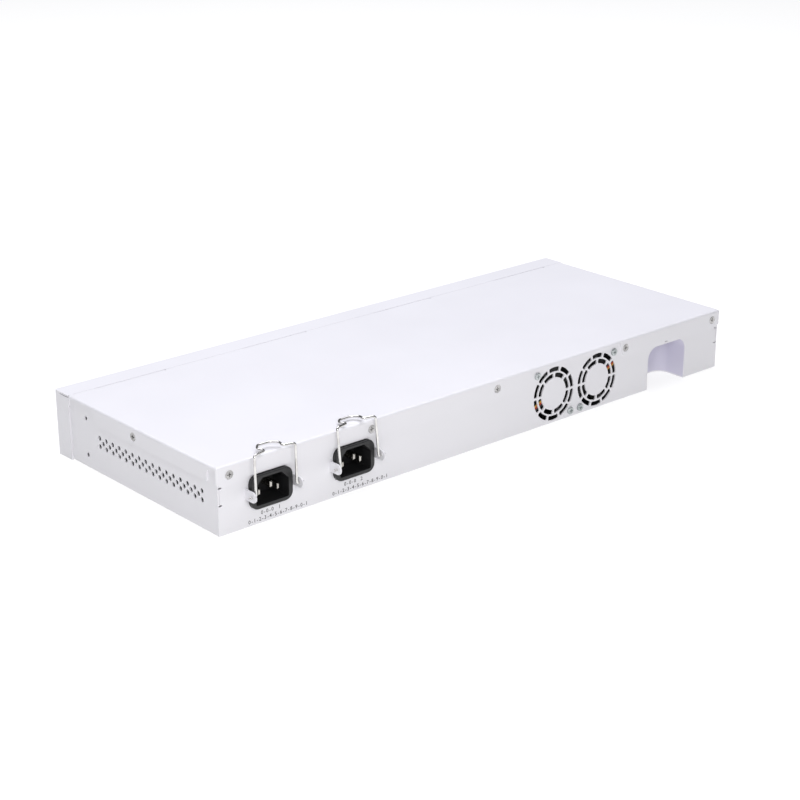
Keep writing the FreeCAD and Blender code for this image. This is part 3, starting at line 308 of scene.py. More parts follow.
def plated_metal(name, colour, shade, roughness, grain_scale, scratch):
    """Plated or polished metal: tone changes over the plating, fine scratches and duller spots."""
    finish = bpy.data.materials.new(name)
    finish.use_nodes = True
    nodes, links = finish.node_tree.nodes, finish.node_tree.links
    nodes.clear()
    plating = nodes.new("NodeFrame")
    plating.label = "Plating tone"
    wear = nodes.new("NodeFrame")
    wear.label = "Scratches and dull spots"
    place = nodes.new("ShaderNodeTexCoord")
    place.label = "Place on the metal"
    bath = nodes.new("ShaderNodeTexNoise")
    bath.label = "Uneven plating"
    tone = nodes.new("ShaderNodeValToRGB")
    tone.label = "Bright and dark plating"
    stretch = nodes.new("ShaderNodeMapping")
    stretch.label = "Draws the scratches long"
    lines = nodes.new("ShaderNodeTexNoise")
    lines.label = "Fine scratches"
    spots = nodes.new("ShaderNodeTexNoise")
    spots.label = "Dull spots"
    polish = nodes.new("ShaderNodeMapRange")
    polish.label = "Polish range"
    scratch_bump = nodes.new("ShaderNodeBump")
    scratch_bump.label = "Scratch depth"
    metal = nodes.new("ShaderNodeBsdfPrincipled")
    metal.label = "Plated metal"
    output = nodes.new("ShaderNodeOutputMaterial")
    output.label = "Metal surface"
    for node in (bath, tone):
        node.parent = plating
    for node in (stretch, lines, spots, polish, scratch_bump):
        node.parent = wear
    for i, node in enumerate((place, bath, tone, stretch, lines, spots, polish, scratch_bump, metal, output)):
        node.location = (220 * i, -140 * (i % 3))
    bath.inputs["Scale"].default_value = grain_scale * 0.25
    bath.inputs["Detail"].default_value = 3
    tone.color_ramp.elements[0].position = 0.35
    tone.color_ramp.elements[0].color = (*shade, 1)
    tone.color_ramp.elements[1].position = 0.65
    tone.color_ramp.elements[1].color = (*colour, 1)
    stretch.inputs["Scale"].default_value = (0.2, 1, 1)
    lines.inputs["Scale"].default_value = grain_scale * 2
    lines.inputs["Detail"].default_value = 4
    spots.inputs["Scale"].default_value = grain_scale
    spots.inputs["Detail"].default_value = 5
    polish.inputs["From Min"].default_value = 0.3
    polish.inputs["From Max"].default_value = 0.75
    polish.inputs["To Min"].default_value = roughness * 0.75
    polish.inputs["To Max"].default_value = roughness * 1.35
    scratch_bump.inputs["Strength"].default_value = scratch
    scratch_bump.inputs["Distance"].default_value = 0.00003
    metal.inputs["Metallic"].default_value = 1
    links.new(place.outputs["Object"], bath.inputs["Vector"])
    links.new(bath.outputs["Fac"], tone.inputs["Fac"])
    links.new(tone.outputs["Color"], metal.inputs["Base Color"])
    links.new(place.outputs["Object"], stretch.inputs["Vector"])
    links.new(stretch.outputs["Vector"], lines.inputs["Vector"])
    links.new(place.outputs["Object"], spots.inputs["Vector"])
    links.new(spots.outputs["Fac"], polish.inputs["Value"])
    links.new(polish.outputs["Result"], metal.inputs["Roughness"])
    links.new(lines.outputs["Fac"], scratch_bump.inputs["Height"])
    links.new(scratch_bump.outputs["Normal"], metal.inputs["Normal"])
    links.new(metal.outputs["BSDF"], output.inputs["Surface"])
    return finish


def moulded_plastic(name, colour, roughness, grain_scale, grain_depth):
    """Injection-moulded plastic: eroded mould grain, slow flow marks and a slightly varied gloss."""
    finish = bpy.data.materials.new(name)
    finish.use_nodes = True
    nodes, links = finish.node_tree.nodes, finish.node_tree.links
    nodes.clear()
    pigment = nodes.new("NodeFrame")
    pigment.label = "Pigment and flow marks"
    mould = nodes.new("NodeFrame")
    mould.label = "Mould grain"
    place = nodes.new("ShaderNodeTexCoord")
    place.label = "Place on the moulding"
    flow = nodes.new("ShaderNodeTexNoise")
    flow.label = "Flow of the melt"
    tone = nodes.new("ShaderNodeValToRGB")
    tone.label = "Pigment tone"
    pits = nodes.new("ShaderNodeTexVoronoi")
    pits.label = "Spark-eroded pits"
    fine = nodes.new("ShaderNodeTexNoise")
    fine.label = "Fine mould grain"
    grain = nodes.new("ShaderNodeMath")
    grain.label = "Pits with grain"
    grain_bump = nodes.new("ShaderNodeBump")
    grain_bump.label = "Grain height"
    gloss = nodes.new("ShaderNodeMapRange")
    gloss.label = "Gloss range"
    plastic = nodes.new("ShaderNodeBsdfPrincipled")
    plastic.label = "Moulded plastic"
    output = nodes.new("ShaderNodeOutputMaterial")
    output.label = "Moulding surface"
    for node in (flow, tone):
        node.parent = pigment
    for node in (pits, fine, grain, grain_bump, gloss):
        node.parent = mould
    for i, node in enumerate((place, flow, tone, pits, fine, grain, grain_bump, gloss, plastic, output)):
        node.location = (220 * i, -140 * (i % 3))
    flow.inputs["Scale"].default_value = 90
    flow.inputs["Detail"].default_value = 3
    flow.inputs["Distortion"].default_value = 0.6
    tone.color_ramp.elements[0].position = 0.3
    tone.color_ramp.elements[0].color = (*[c * 0.82 for c in colour], 1)
    tone.color_ramp.elements[1].position = 0.7
    tone.color_ramp.elements[1].color = (*colour, 1)
    pits.inputs["Scale"].default_value = grain_scale
    fine.inputs["Scale"].default_value = grain_scale * 2
    fine.inputs["Detail"].default_value = 4
    grain.operation = "MULTIPLY"
    grain_bump.inputs["Strength"].default_value = grain_depth
    grain_bump.inputs["Distance"].default_value = 0.00005
    gloss.inputs["To Min"].default_value = roughness - 0.06
    gloss.inputs["To Max"].default_value = roughness + 0.08
    links.new(place.outputs["Object"], flow.inputs["Vector"])
    links.new(place.outputs["Object"], pits.inputs["Vector"])
    links.new(place.outputs["Object"], fine.inputs["Vector"])
    links.new(flow.outputs["Fac"], tone.inputs["Fac"])
    links.new(tone.outputs["Color"], plastic.inputs["Base Color"])
    links.new(pits.outputs["Distance"], grain.inputs[0])
    links.new(fine.outputs["Fac"], grain.inputs[1])
    links.new(grain.outputs["Value"], grain_bump.inputs["Height"])
    links.new(grain_bump.outputs["Normal"], plastic.inputs["Normal"])
    links.new(fine.outputs["Fac"], gloss.inputs["Value"])
    links.new(gloss.outputs["Result"], plastic.inputs["Roughness"])
    links.new(plastic.outputs["BSDF"], output.inputs["Surface"])
    return finish


def wire_insulation(name, colour):
    """Soft extruded insulation: waxy, with draw lines and faint dusty patches."""
    finish = bpy.data.materials.new(name)
    finish.use_nodes = True
    nodes, links = finish.node_tree.nodes, finish.node_tree.links
    nodes.clear()
    skin = nodes.new("NodeFrame")
    skin.label = "Insulation colour"
    drawn = nodes.new("NodeFrame")
    drawn.label = "Extruded surface"
    place = nodes.new("ShaderNodeTexCoord")
    place.label = "Place on the lead"
    dust = nodes.new("ShaderNodeTexNoise")
    dust.label = "Dusty patches"
    tone = nodes.new("ShaderNodeValToRGB")
    tone.label = "Clean and dusty colour"
    lump = nodes.new("ShaderNodeTexNoise")
    lump.label = "Strands under the skin"
    lump_bump = nodes.new("ShaderNodeBump")
    lump_bump.label = "Strand height"
    wax = nodes.new("ShaderNodeMapRange")
    wax.label = "Waxy gloss"
    jacket = nodes.new("ShaderNodeBsdfPrincipled")
    jacket.label = "Lead insulation"
    output = nodes.new("ShaderNodeOutputMaterial")
    output.label = "Lead surface"
    for node in (dust, tone):
        node.parent = skin
    for node in (lump, lump_bump, wax):
        node.parent = drawn
    for i, node in enumerate((place, dust, tone, lump, lump_bump, wax, jacket, output)):
        node.location = (220 * i, -140 * (i % 3))
    dust.inputs["Scale"].default_value = 220
    dust.inputs["Detail"].default_value = 4
    tone.color_ramp.elements[0].position = 0.35
    tone.color_ramp.elements[0].color = (*colour, 1)
    tone.color_ramp.elements[1].position = 0.8
    tone.color_ramp.elements[1].color = (*[c * 0.85 + 0.05 for c in colour], 1)
    lump.inputs["Scale"].default_value = 1400
    lump.inputs["Detail"].default_value = 2
    lump_bump.inputs["Strength"].default_value = 0.25
    lump_bump.inputs["Distance"].default_value = 0.00005
    wax.inputs["To Min"].default_value = 0.34
    wax.inputs["To Max"].default_value = 0.5
    jacket.inputs["Specular IOR Level"].default_value = 0.55
    links.new(place.outputs["Object"], dust.inputs["Vector"])
    links.new(place.outputs["Object"], lump.inputs["Vector"])
    links.new(dust.outputs["Fac"], tone.inputs["Fac"])
    links.new(tone.outputs["Color"], jacket.inputs["Base Color"])
    links.new(lump.outputs["Fac"], lump_bump.inputs["Height"])
    links.new(lump_bump.outputs["Normal"], jacket.inputs["Normal"])
    links.new(dust.outputs["Fac"], wax.inputs["Value"])
    links.new(wax.outputs["Result"], jacket.inputs["Roughness"])
    links.new(jacket.outputs["BSDF"], output.inputs["Surface"])
    return finish


def copper_winding(name):
    """Enamelled copper wire, wound: close ridges, with painted shade darkening the gaps between the turns."""
    finish = bpy.data.materials.new(name)
    finish.use_nodes = True
    nodes, links = finish.node_tree.nodes, finish.node_tree.links
    nodes.clear()
    turns = nodes.new("NodeFrame")
    turns.label = "Turns of wire"
    enamel = nodes.new("NodeFrame")
    enamel.label = "Enamel"
    place = nodes.new("ShaderNodeTexCoord")
    place.label = "Place on the winding"
    ridges = nodes.new("ShaderNodeTexWave")
    ridges.label = "Wire ridges"
    gaps = nodes.new("ShaderNodeValToRGB")
    gaps.label = "Copper and dark gaps"
    ridge_bump = nodes.new("ShaderNodeBump")
    ridge_bump.label = "Ridge height"
    varnish = nodes.new("ShaderNodeTexNoise")
    varnish.label = "Uneven varnish"
    gloss = nodes.new("ShaderNodeMapRange")
    gloss.label = "Varnish gloss"
    wire = nodes.new("ShaderNodeBsdfPrincipled")
    wire.label = "Enamelled copper"
    output = nodes.new("ShaderNodeOutputMaterial")
    output.label = "Winding surface"
    for node in (ridges, gaps, ridge_bump):
        node.parent = turns
    for node in (varnish, gloss):
        node.parent = enamel
    for i, node in enumerate((place, ridges, gaps, ridge_bump, varnish, gloss, wire, output)):
        node.location = (220 * i, -140 * (i % 3))
    ridges.bands_direction = "DIAGONAL"
    ridges.inputs["Scale"].default_value = 650
    ridges.inputs["Distortion"].default_value = 0.5
    # The dark end of the ramp is painted shade in the gaps between the turns; the wire there is the same
    # copper.
    gaps.color_ramp.elements[0].color = (0.10, 0.03, 0.012, 1)
    gaps.color_ramp.elements[1].position = 0.45
    gaps.color_ramp.elements[1].color = (0.72, 0.27, 0.10, 1)
    ridge_bump.inputs["Distance"].default_value = 0.0001
    varnish.inputs["Scale"].default_value = 400
    gloss.inputs["To Min"].default_value = 0.2
    gloss.inputs["To Max"].default_value = 0.42
    wire.inputs["Metallic"].default_value = 0.85
    links.new(place.outputs["Object"], ridges.inputs["Vector"])
    links.new(place.outputs["Object"], varnish.inputs["Vector"])
    links.new(ridges.outputs["Fac"], gaps.inputs["Fac"])
    links.new(gaps.outputs["Color"], wire.inputs["Base Color"])
    links.new(ridges.outputs["Fac"], ridge_bump.inputs["Height"])
    links.new(ridge_bump.outputs["Normal"], wire.inputs["Normal"])
    links.new(varnish.outputs["Fac"], gloss.inputs["Value"])
    links.new(gloss.outputs["Result"], wire.inputs["Roughness"])
    links.new(wire.outputs["BSDF"], output.inputs["Surface"])
    return finish


def circuit_board(name):
    """Green solder mask over copper tracks, with the weave of the glass cloth under it."""
    finish = bpy.data.materials.new(name)
    finish.use_nodes = True
    nodes, links = finish.node_tree.nodes, finish.node_tree.links
    nodes.clear()
    copper = nodes.new("NodeFrame")
    copper.label = "Copper tracks under the mask"
    cloth = nodes.new("NodeFrame")
    cloth.label = "Glass cloth"
    place = nodes.new("ShaderNodeTexCoord")
    place.label = "Place on the board"
    tracks = nodes.new("ShaderNodeTexBrick")
    tracks.label = "Track layout"
    pads = nodes.new("ShaderNodeTexVoronoi")
    pads.label = "Vias"
    pad_edge = nodes.new("ShaderNodeMath")
    pad_edge.label = "Via rings"
    mask = nodes.new("ShaderNodeMix")
    mask.label = "Solder mask with vias"
    weave = nodes.new("ShaderNodeTexWave")
    weave.label = "Cloth weave"
    board_bump = nodes.new("ShaderNodeBump")
    board_bump.label = "Track and weave height"
    height = nodes.new("ShaderNodeMath")
    height.label = "Tracks over weave"
    gloss = nodes.new("ShaderNodeMapRange")
    gloss.label = "Mask gloss"
    board = nodes.new("ShaderNodeBsdfPrincipled")
    board.label = "Solder mask"
    output = nodes.new("ShaderNodeOutputMaterial")
    output.label = "Board surface"
    for node in (tracks, pads, pad_edge, mask):
        node.parent = copper
    for node in (weave, height, board_bump, gloss):
        node.parent = cloth
    for i, node in enumerate((place, tracks, pads, pad_edge, mask, weave, height, board_bump,
                              gloss, board, output)):
        node.location = (220 * i, -140 * (i % 3))
    tracks.inputs["Scale"].default_value = 160
    tracks.inputs["Mortar Size"].default_value = 0.03
    tracks.inputs["Brick Width"].default_value = 0.9
    tracks.inputs["Row Height"].default_value = 0.14
    tracks.inputs["Color1"].default_value = (0.012, 0.12, 0.045, 1)
    tracks.inputs["Color2"].default_value = (0.010, 0.10, 0.038, 1)
    tracks.inputs["Mortar"].default_value = (0.005, 0.05, 0.02, 1)
    pads.inputs["Scale"].default_value = 260
    pad_edge.operation = "LESS_THAN"
    pad_edge.inputs[1].default_value = 0.09
    mask.data_type = "RGBA"
    mask.inputs["B"].default_value = (0.55, 0.5, 0.4, 1)
    weave.inputs["Scale"].default_value = 900
    weave.inputs["Distortion"].default_value = 0.3
    height.operation = "MULTIPLY_ADD"
    height.inputs[1].default_value = 0.2
    board_bump.inputs["Strength"].default_value = 0.3
    board_bump.inputs["Distance"].default_value = 0.00004
    gloss.inputs["To Min"].default_value = 0.25
    gloss.inputs["To Max"].default_value = 0.4
    links.new(place.outputs["Object"], tracks.inputs["Vector"])
    links.new(place.outputs["Object"], pads.inputs["Vector"])
    links.new(place.outputs["Object"], weave.inputs["Vector"])
    links.new(pads.outputs["Distance"], pad_edge.inputs[0])
    links.new(pad_edge.outputs["Value"], mask.inputs["Factor"])
    links.new(tracks.outputs["Color"], mask.inputs["A"])
    links.new(mask.outputs["Result"], board.inputs["Base Color"])
    links.new(weave.outputs["Fac"], height.inputs[0])
    links.new(tracks.outputs["Fac"], height.inputs[2])
    links.new(height.outputs["Value"], board_bump.inputs["Height"])
    links.new(board_bump.outputs["Normal"], board.inputs["Normal"])
    links.new(weave.outputs["Fac"], gloss.inputs["Value"])
    links.new(gloss.outputs["Result"], board.inputs["Roughness"])
    links.new(board.outputs["BSDF"], output.inputs["Surface"])
    return finish


def clear_light_pipe(name):
    """Frosted clear acrylic that carries the light of an indicator to the panel."""
    finish = bpy.data.materials.new(name)
    finish.use_nodes = True
    nodes, links = finish.node_tree.nodes, finish.node_tree.links
    nodes.clear()
    frost = nodes.new("NodeFrame")
    frost.label = "Frosting"
    place = nodes.new("ShaderNodeTexCoord")
    place.label = "Place on the light pipe"
    speckle = nodes.new("ShaderNodeTexNoise")
    speckle.label = "Frosted speckle"
    haze = nodes.new("ShaderNodeMapRange")
    haze.label = "Haze range"
    speckle_bump = nodes.new("ShaderNodeBump")
    speckle_bump.label = "Frost height"
    acrylic = nodes.new("ShaderNodeBsdfPrincipled")
    acrylic.label = "Clear acrylic"
    output = nodes.new("ShaderNodeOutputMaterial")
    output.label = "Light pipe surface"
    for node in (speckle, haze, speckle_bump):
        node.parent = frost
    for i, node in enumerate((place, speckle, haze, speckle_bump, acrylic, output)):
        node.location = (220 * i, -140 * (i % 2))
    speckle.inputs["Scale"].default_value = 2500
    haze.inputs["To Min"].default_value = 0.12
    haze.inputs["To Max"].default_value = 0.35
    speckle_bump.inputs["Strength"].default_value = 0.2
    speckle_bump.inputs["Distance"].default_value = 0.00003
    acrylic.inputs["Base Color"].default_value = (0.85, 0.89, 0.9, 1)
    acrylic.inputs["Transmission Weight"].default_value = 0.7
    acrylic.inputs["IOR"].default_value = 1.49
    links.new(place.outputs["Object"], speckle.inputs["Vector"])
    links.new(speckle.outputs["Fac"], haze.inputs["Value"])
    links.new(haze.outputs["Result"], acrylic.inputs["Roughness"])
    links.new(speckle.outputs["Fac"], speckle_bump.inputs["Height"])
    links.new(speckle_bump.outputs["Normal"], acrylic.inputs["Normal"])
    links.new(acrylic.outputs["BSDF"], output.inputs["Surface"])
    return finish


def printed_ink(name, colour):
    """Screen-printed grey ink, slightly thin in places."""
    finish = bpy.data.materials.new(name)
    finish.use_nodes = True
    nodes, links = finish.node_tree.nodes, finish.node_tree.links
    nodes.clear()
    screen = nodes.new("NodeFrame")
    screen.label = "Screen print"
    place = nodes.new("ShaderNodeTexCoord")
    place.label = "Place on the print"
    mesh = nodes.new("ShaderNodeTexNoise")
    mesh.label = "Mesh of the screen"
    tone = nodes.new("ShaderNodeValToRGB")
    tone.label = "Full and thin ink"
    ink = nodes.new("ShaderNodeBsdfPrincipled")
    ink.label = "Grey ink"
    output = nodes.new("ShaderNodeOutputMaterial")
    output.label = "Ink surface"
    for node in (mesh, tone):
        node.parent = screen
    for i, node in enumerate((place, mesh, tone, ink, output)):
        node.location = (220 * i, 0)
    mesh.inputs["Scale"].default_value = 3500
    tone.color_ramp.elements[0].color = (*colour, 1)
    tone.color_ramp.elements[1].color = (*[c * 1.25 for c in colour], 1)
    ink.inputs["Roughness"].default_value = 0.55
    links.new(place.outputs["Object"], mesh.inputs["Vector"])
    links.new(mesh.outputs["Fac"], tone.inputs["Fac"])
    links.new(tone.outputs["Color"], ink.inputs["Base Color"])
    links.new(ink.outputs["BSDF"], output.inputs["Surface"])
    return finish


def studio_floor(name):
    """White studio paper, lit so that it stays white under the object."""
    finish = bpy.data.materials.new(name)
    finish.use_nodes = True
    nodes, links = finish.node_tree.nodes, finish.node_tree.links
    nodes.clear()
    paper = nodes.new("ShaderNodeBsdfPrincipled")
    paper.label = "White paper"
    output = nodes.new("ShaderNodeOutputMaterial")
    output.label = "Floor surface"
    output.location = (300, 0)
    paper.inputs["Base Color"].default_value = (0.3, 0.3, 0.3, 1)
    paper.inputs["Roughness"].default_value = 0.9
    paper.inputs["Specular IOR Level"].default_value = 0.1
    paper.inputs["Emission Color"].default_value = (1, 1, 1, 1)
    paper.inputs["Emission Strength"].default_value = 0.78
    links.new(paper.outputs["BSDF"], output.inputs["Surface"])
    return finish


finishes = {
    "white_paint": white_powder_coat("white_paint_coat", (0.81, 0.803, 0.832), 0.36),
    "nickel_screw": plated_metal("nickel_screw_plate", (0.56, 0.55, 0.545), (0.34, 0.335, 0.33),
                                 0.3, 900, 0.2),
    "zinc_steel": plated_metal("zinc_plate", (0.55, 0.58, 0.58), (0.38, 0.41, 0.41), 0.32, 700, 0.25),
    "bail_wire": plated_metal("bright_bail_wire", (0.80, 0.79, 0.77), (0.66, 0.65, 0.63), 0.14, 800, 0.12),
    "nickel_blade": plated_metal("nickel_blade_plate", (0.60, 0.58, 0.54), (0.42, 0.40, 0.37),
                                 0.2, 800, 0.15),
    "shaft_steel": plated_metal("ground_shaft_steel", (0.6, 0.6, 0.6), (0.45, 0.45, 0.45), 0.2, 1200, 0.2),
    "tinplate": plated_metal("bright_tinplate", (0.72, 0.72, 0.70), (0.56, 0.56, 0.55), 0.28, 500, 0.25),
    "contact_gold": plated_metal("gold_flash", (0.95, 0.68, 0.28), (0.8, 0.52, 0.2), 0.18, 1500, 0.1),
    "heat_sink": plated_metal("extruded_aluminium", (0.62, 0.63, 0.64), (0.48, 0.49, 0.5), 0.42, 350, 0.4),
    "capacitor_can": plated_metal("aluminium_can", (0.76, 0.76, 0.76), (0.64, 0.64, 0.64), 0.3, 600, 0.15),
    "bearing_bronze": plated_metal("sintered_bronze", (0.55, 0.36, 0.17), (0.38, 0.24, 0.11), 0.5, 2200, 0.6),
    "magnet": plated_metal("magnet_ferrite", (0.09, 0.09, 0.095), (0.05, 0.05, 0.055), 0.6, 1800, 0.6),
    "ferrite": plated_metal("ferrite_core", (0.10, 0.10, 0.105), (0.06, 0.06, 0.065), 0.55, 1500, 0.5),
    "inlet_plastic": moulded_plastic("inlet_black", (0.015, 0.015, 0.016), 0.42, 2600, 0.3),
    "fan_plastic": moulded_plastic("fan_black", (0.016, 0.016, 0.017), 0.45, 1800, 0.35),
    "chip_black": moulded_plastic("chip_epoxy", (0.022, 0.022, 0.024), 0.6, 3200, 0.5),
    "jack_plastic": moulded_plastic("jack_black", (0.02, 0.02, 0.021), 0.4, 2200, 0.3),
    "header_white": moulded_plastic("header_nylon", (0.72, 0.70, 0.63), 0.4, 1500, 0.2),
    "led_body": moulded_plastic("indicator_resin", (0.62, 0.66, 0.60), 0.22, 1500, 0.1),
    "insulator_film": moulded_plastic("insulator_film_sheet", (0.62, 0.60, 0.50), 0.35, 600, 0.2),
    "red_insulation": wire_insulation("red_lead_skin", (0.50, 0.045, 0.02)),
    "black_insulation": wire_insulation("black_lead_skin", (0.02, 0.02, 0.02)),
    "yellow_insulation": wire_insulation("yellow_lead_skin", (0.66, 0.34, 0.03)),
    "brown_insulation": wire_insulation("brown_lead_skin", (0.16, 0.06, 0.025)),
    "blue_insulation": wire_insulation("blue_lead_skin", (0.03, 0.10, 0.42)),
    "green_insulation": wire_insulation("green_lead_skin", (0.08, 0.36, 0.07)),
    "copper_winding": copper_winding("enamelled_winding"),
    "circuit_board": circuit_board("green_solder_mask"),
    "light_pipe": clear_light_pipe("frosted_acrylic"),
}
# The cable notch liner's coat is darker and more lavender than the case's white paint: painted shade for the
# deep notch, not the liner's own colour.
notch_painted_shade_coat = white_powder_coat("notch_liner_painted_shade_coat", (0.64, 0.622, 0.73), 0.45)
ink_grey = printed_ink("grey_print", (0.035, 0.035, 0.037))



# ---- the tray ----------------------------------------------------------------
def grille_slots(x, inner_r, outer_r, count, first, span):
    """A ring of curved slots with rounded ends, through the rear wall."""
    slots = []
    for k in range(count):
        middle = math.radians(first + 360 / count * k)
        reach = math.radians(span)
        start = middle - reach / 2
        bpy.ops.object.select_all(action="DESELECT")
        bpy.ops.mesh.primitive_plane_add(size=1, location=((inner_r + outer_r) / 2 * MM, 0, 0))
        piece = bpy.context.object
        piece.scale = ((outer_r - inner_r) * MM, 4 * SHEET * MM, 1)
        piece = settle("fan_slot")
        bpy.ops.object.mode_set(mode="EDIT")
        bpy.ops.mesh.select_all(action="SELECT")
        bpy.ops.mesh.spin(steps=12, angle=reach, center=(0, 0, 0), axis=(0, 1, 0))
        bpy.ops.mesh.select_all(action="SELECT")
        bpy.ops.mesh.normals_make_consistent(inside=False)
        bpy.ops.object.mode_set(mode="OBJECT")
        piece.rotation_euler = (0, -start, 0)
        piece.location = (x * MM, WALL_Y * MM, FAN_Z * MM)
        only(piece)
        settle("fan_slot")
        centre = Vector((x, WALL_Y, FAN_Z))
        ends = [start, start + reach]

        def at_corner(a, b):
            flat = a - centre
            angle = math.atan2(flat.z, flat.x)
            off = min(abs(math.remainder(angle - end, 2 * math.pi)) for end in ends)
            return runs(a, b, 1) and off < 0.001

        slots.append(round_off(piece, 1.1, at_corner, 4))
    return slots


def relief_slot(x, z):
    """A short slot through the rear wall at the end of a bend or a slit."""
    slot = block("relief_slot", (x - RELIEF_W / 2, WALL_Y - 2, z - RELIEF_H / 2),
                 (x + RELIEF_W / 2, WALL_Y + 2, z + RELIEF_H / 2))
    return round_off(slot, RELIEF_R, lambda a, b: runs(a, b, 1), 4)


def notch_space():
    """The cable notch: an arch in the rear wall, rounded in plan."""
    arch = block("notch_arch", (NOTCH_X0, NOTCH_Y - 20, -30), (NOTCH_X1, WALL_Y + 5, NOTCH_Z))
    round_off(arch, NOTCH_R, lambda a, b: runs(a, b, 1) and a.z > 0, 14)
    plan = block("notch_plan", (NOTCH_X0, NOTCH_Y, -40), (NOTCH_X1, WALL_Y + 40, NOTCH_Z + 20))
    round_off(plan, NOTCH_R, lambda a, b: runs(a, b, 2) and a.y < WALL_Y, 14)
    return combined(arch, "INTERSECT", [plan])


def inlet_window(x):
    """The hole for an inlet, with its two cut corners."""
    w, h, c = 13.7, 9.9, 4.5
    low, high = INLET_Z - h, INLET_Z + h
    outline = [(x - w, low), (x + w, low), (x + w, high - c), (x + w - c, high), (x - w + c, high),
               (x - w, high - c)]
    return plate("inlet_window", [(px, WALL_Y - 2, pz) for px, pz in outline], (0, 4, 0))


def bail_ear(x):
    """A lug folded out of the rear wall, with the hole that the bail turns in."""
    lug = block("bail_ear", (x, WALL_Y - 0.5, INLET_Z - EAR_R), (x + SHEET, BAIL_Y, INLET_Z + EAR_R))
    nose = drum("bail_ear_nose", EAR_R, (x, BAIL_Y, INLET_Z), (1, 0, 0), SHEET, ROUND_SIDES)
    combined(lug, "UNION", [nose])
    return combined(lug, "DIFFERENCE",
                    [drum("bail_ear_hole", EAR_HOLE, (x - 1, BAIL_Y, INLET_Z), (1, 0, 0), 3, ROUND_SIDES)])


def folded_tray():
    tray = block("tray", (-TRAY_X, TRAY_FRONT, 0), (TRAY_X, WALL_Y, TRAY_TOP))
    round_off(tray, BEND, lambda a, b: a.z < 0.1 and b.z < 0.1 and max(a.y, b.y) > TRAY_FRONT + 1, BEND_STEPS)
    space = block("tray_space", (-TRAY_X + SHEET, TRAY_FRONT + SHEET, SHEET),
                  (TRAY_X - SHEET, WALL_Y - SHEET, HEIGHT))
    round_off(space, BEND - SHEET, lambda a, b: max(a.z, b.z) < SHEET + 0.1, 4)
    combined(tray, "DIFFERENCE", [space])
    combined(tray, "DIFFERENCE",
             [block("front_relief", (-HALF - 9, FRONT_Y - 1, 36), (HALF + 9, SEAM_Y - 1.7, HEIGHT + 2))])
    combined(tray, "DIFFERENCE",
             [block("front_lip", (-TRAY_X + SHEET, FRONT_Y - 1, FRONT_LIP),
                    (TRAY_X - SHEET, TRAY_FRONT + SHEET + 0.1, HEIGHT + 2))])
    combined(tray, "DIFFERENCE", [notch_space()])
    for side in (-1, 1):
        corner = side * CORNER_SLIT_X
        slit = block("corner_slit", (corner - 0.1, WALL_Y - 2, RELIEF_Z[0]),
                     (corner + 0.1, WALL_Y + 1, HEIGHT + 1))
        ends = [relief_slot(side * RELIEF_X, z) for z in RELIEF_Z]
        combined(tray, "DIFFERENCE", [combined(slit, "UNION", ends)])
    holes = [inlet_window(x) for x in INLET_X]
    holes.append(relief_slot(*LATCH_SLOT))
    for x, side in zip(FAN_X, (1, -1)):
        holes += grille_slots(x, *OUTER_SLOTS) + grille_slots(x, *INNER_SLOTS)
        for turn in (1, -1):
            place = (x + side * turn * FAN_HOLE, WALL_Y - 2, FAN_Z + turn * FAN_HOLE)
            holes.append(drum("fan_screw_hole", FAN_SCREW_HOLE, place, (0, 1, 0), 4, ROUND_SIDES))
    for x in REAR_SCREW_X:
        holes.append(drum("cover_screw_hole", SCREW_HOLE_R, (x, WALL_Y - 2, SCREW_Z), (0, 1, 0), 4,
                          ROUND_SIDES))
    for x, y in STANDOFFS:
        holes.append(drum("standoff_hole", STANDOFF_R, (x, y, -1), (0, 0, 1), 3, ROUND_SIDES))
    across = [(SIDE_SCREW_Y, SCREW_Z, SCREW_HOLE_R, ROUND_SIDES)]
    across += [(RACK_HOLE_Y, z, RACK_HOLE_R, ROUND_SIDES) for z in RACK_HOLE_Z]
    across += [(y, z, 1.0, 20) for y, z in RIVETS]
    across += [(y0 + VENT_PITCH * k, z, VENT_R, VENT_SIDES)
               for z, y0, count in VENT_ROWS for k in range(count)]
    for y, z, radius, sides in across:
        holes.append(drum("side_hole", radius, (-HALF - 5, y, z), (1, 0, 0), 2 * HALF + 10, sides))
    combined(tray, "DIFFERENCE", holes)
    ears = [bail_ear(x + side) for x in INLET_X for side in (EAR_IN, -EAR_IN - SHEET)]
    return combined(tray, "UNION", ears)


# ---- the cover -----------------------------------------------------------------
def side_flange(x0):
    """The cover's side flange: a shallow lip with one deep tongue."""
    lip, top, end = HEIGHT - 2.2, HEIGHT - 0.5, WALL_Y + 0.5
    outline = [(SEAM_Y + 0.1, top), (SEAM_Y + 0.1, lip), (-46.0, lip), (-43.0, lip - 2), (-43.0, FLANGE_Z),
               (78.0, FLANGE_Z), (78.0, lip - 2), (81.0, lip), (end, lip), (end, top)]
    flange = plate("side_flange", [(x0, y, z) for y, z in outline], (SHEET, 0, 0))
    return round_off(flange, 1.8, lambda a, b: runs(a, b, 0) and abs(a.z - FLANGE_Z) < 0.1, 6)


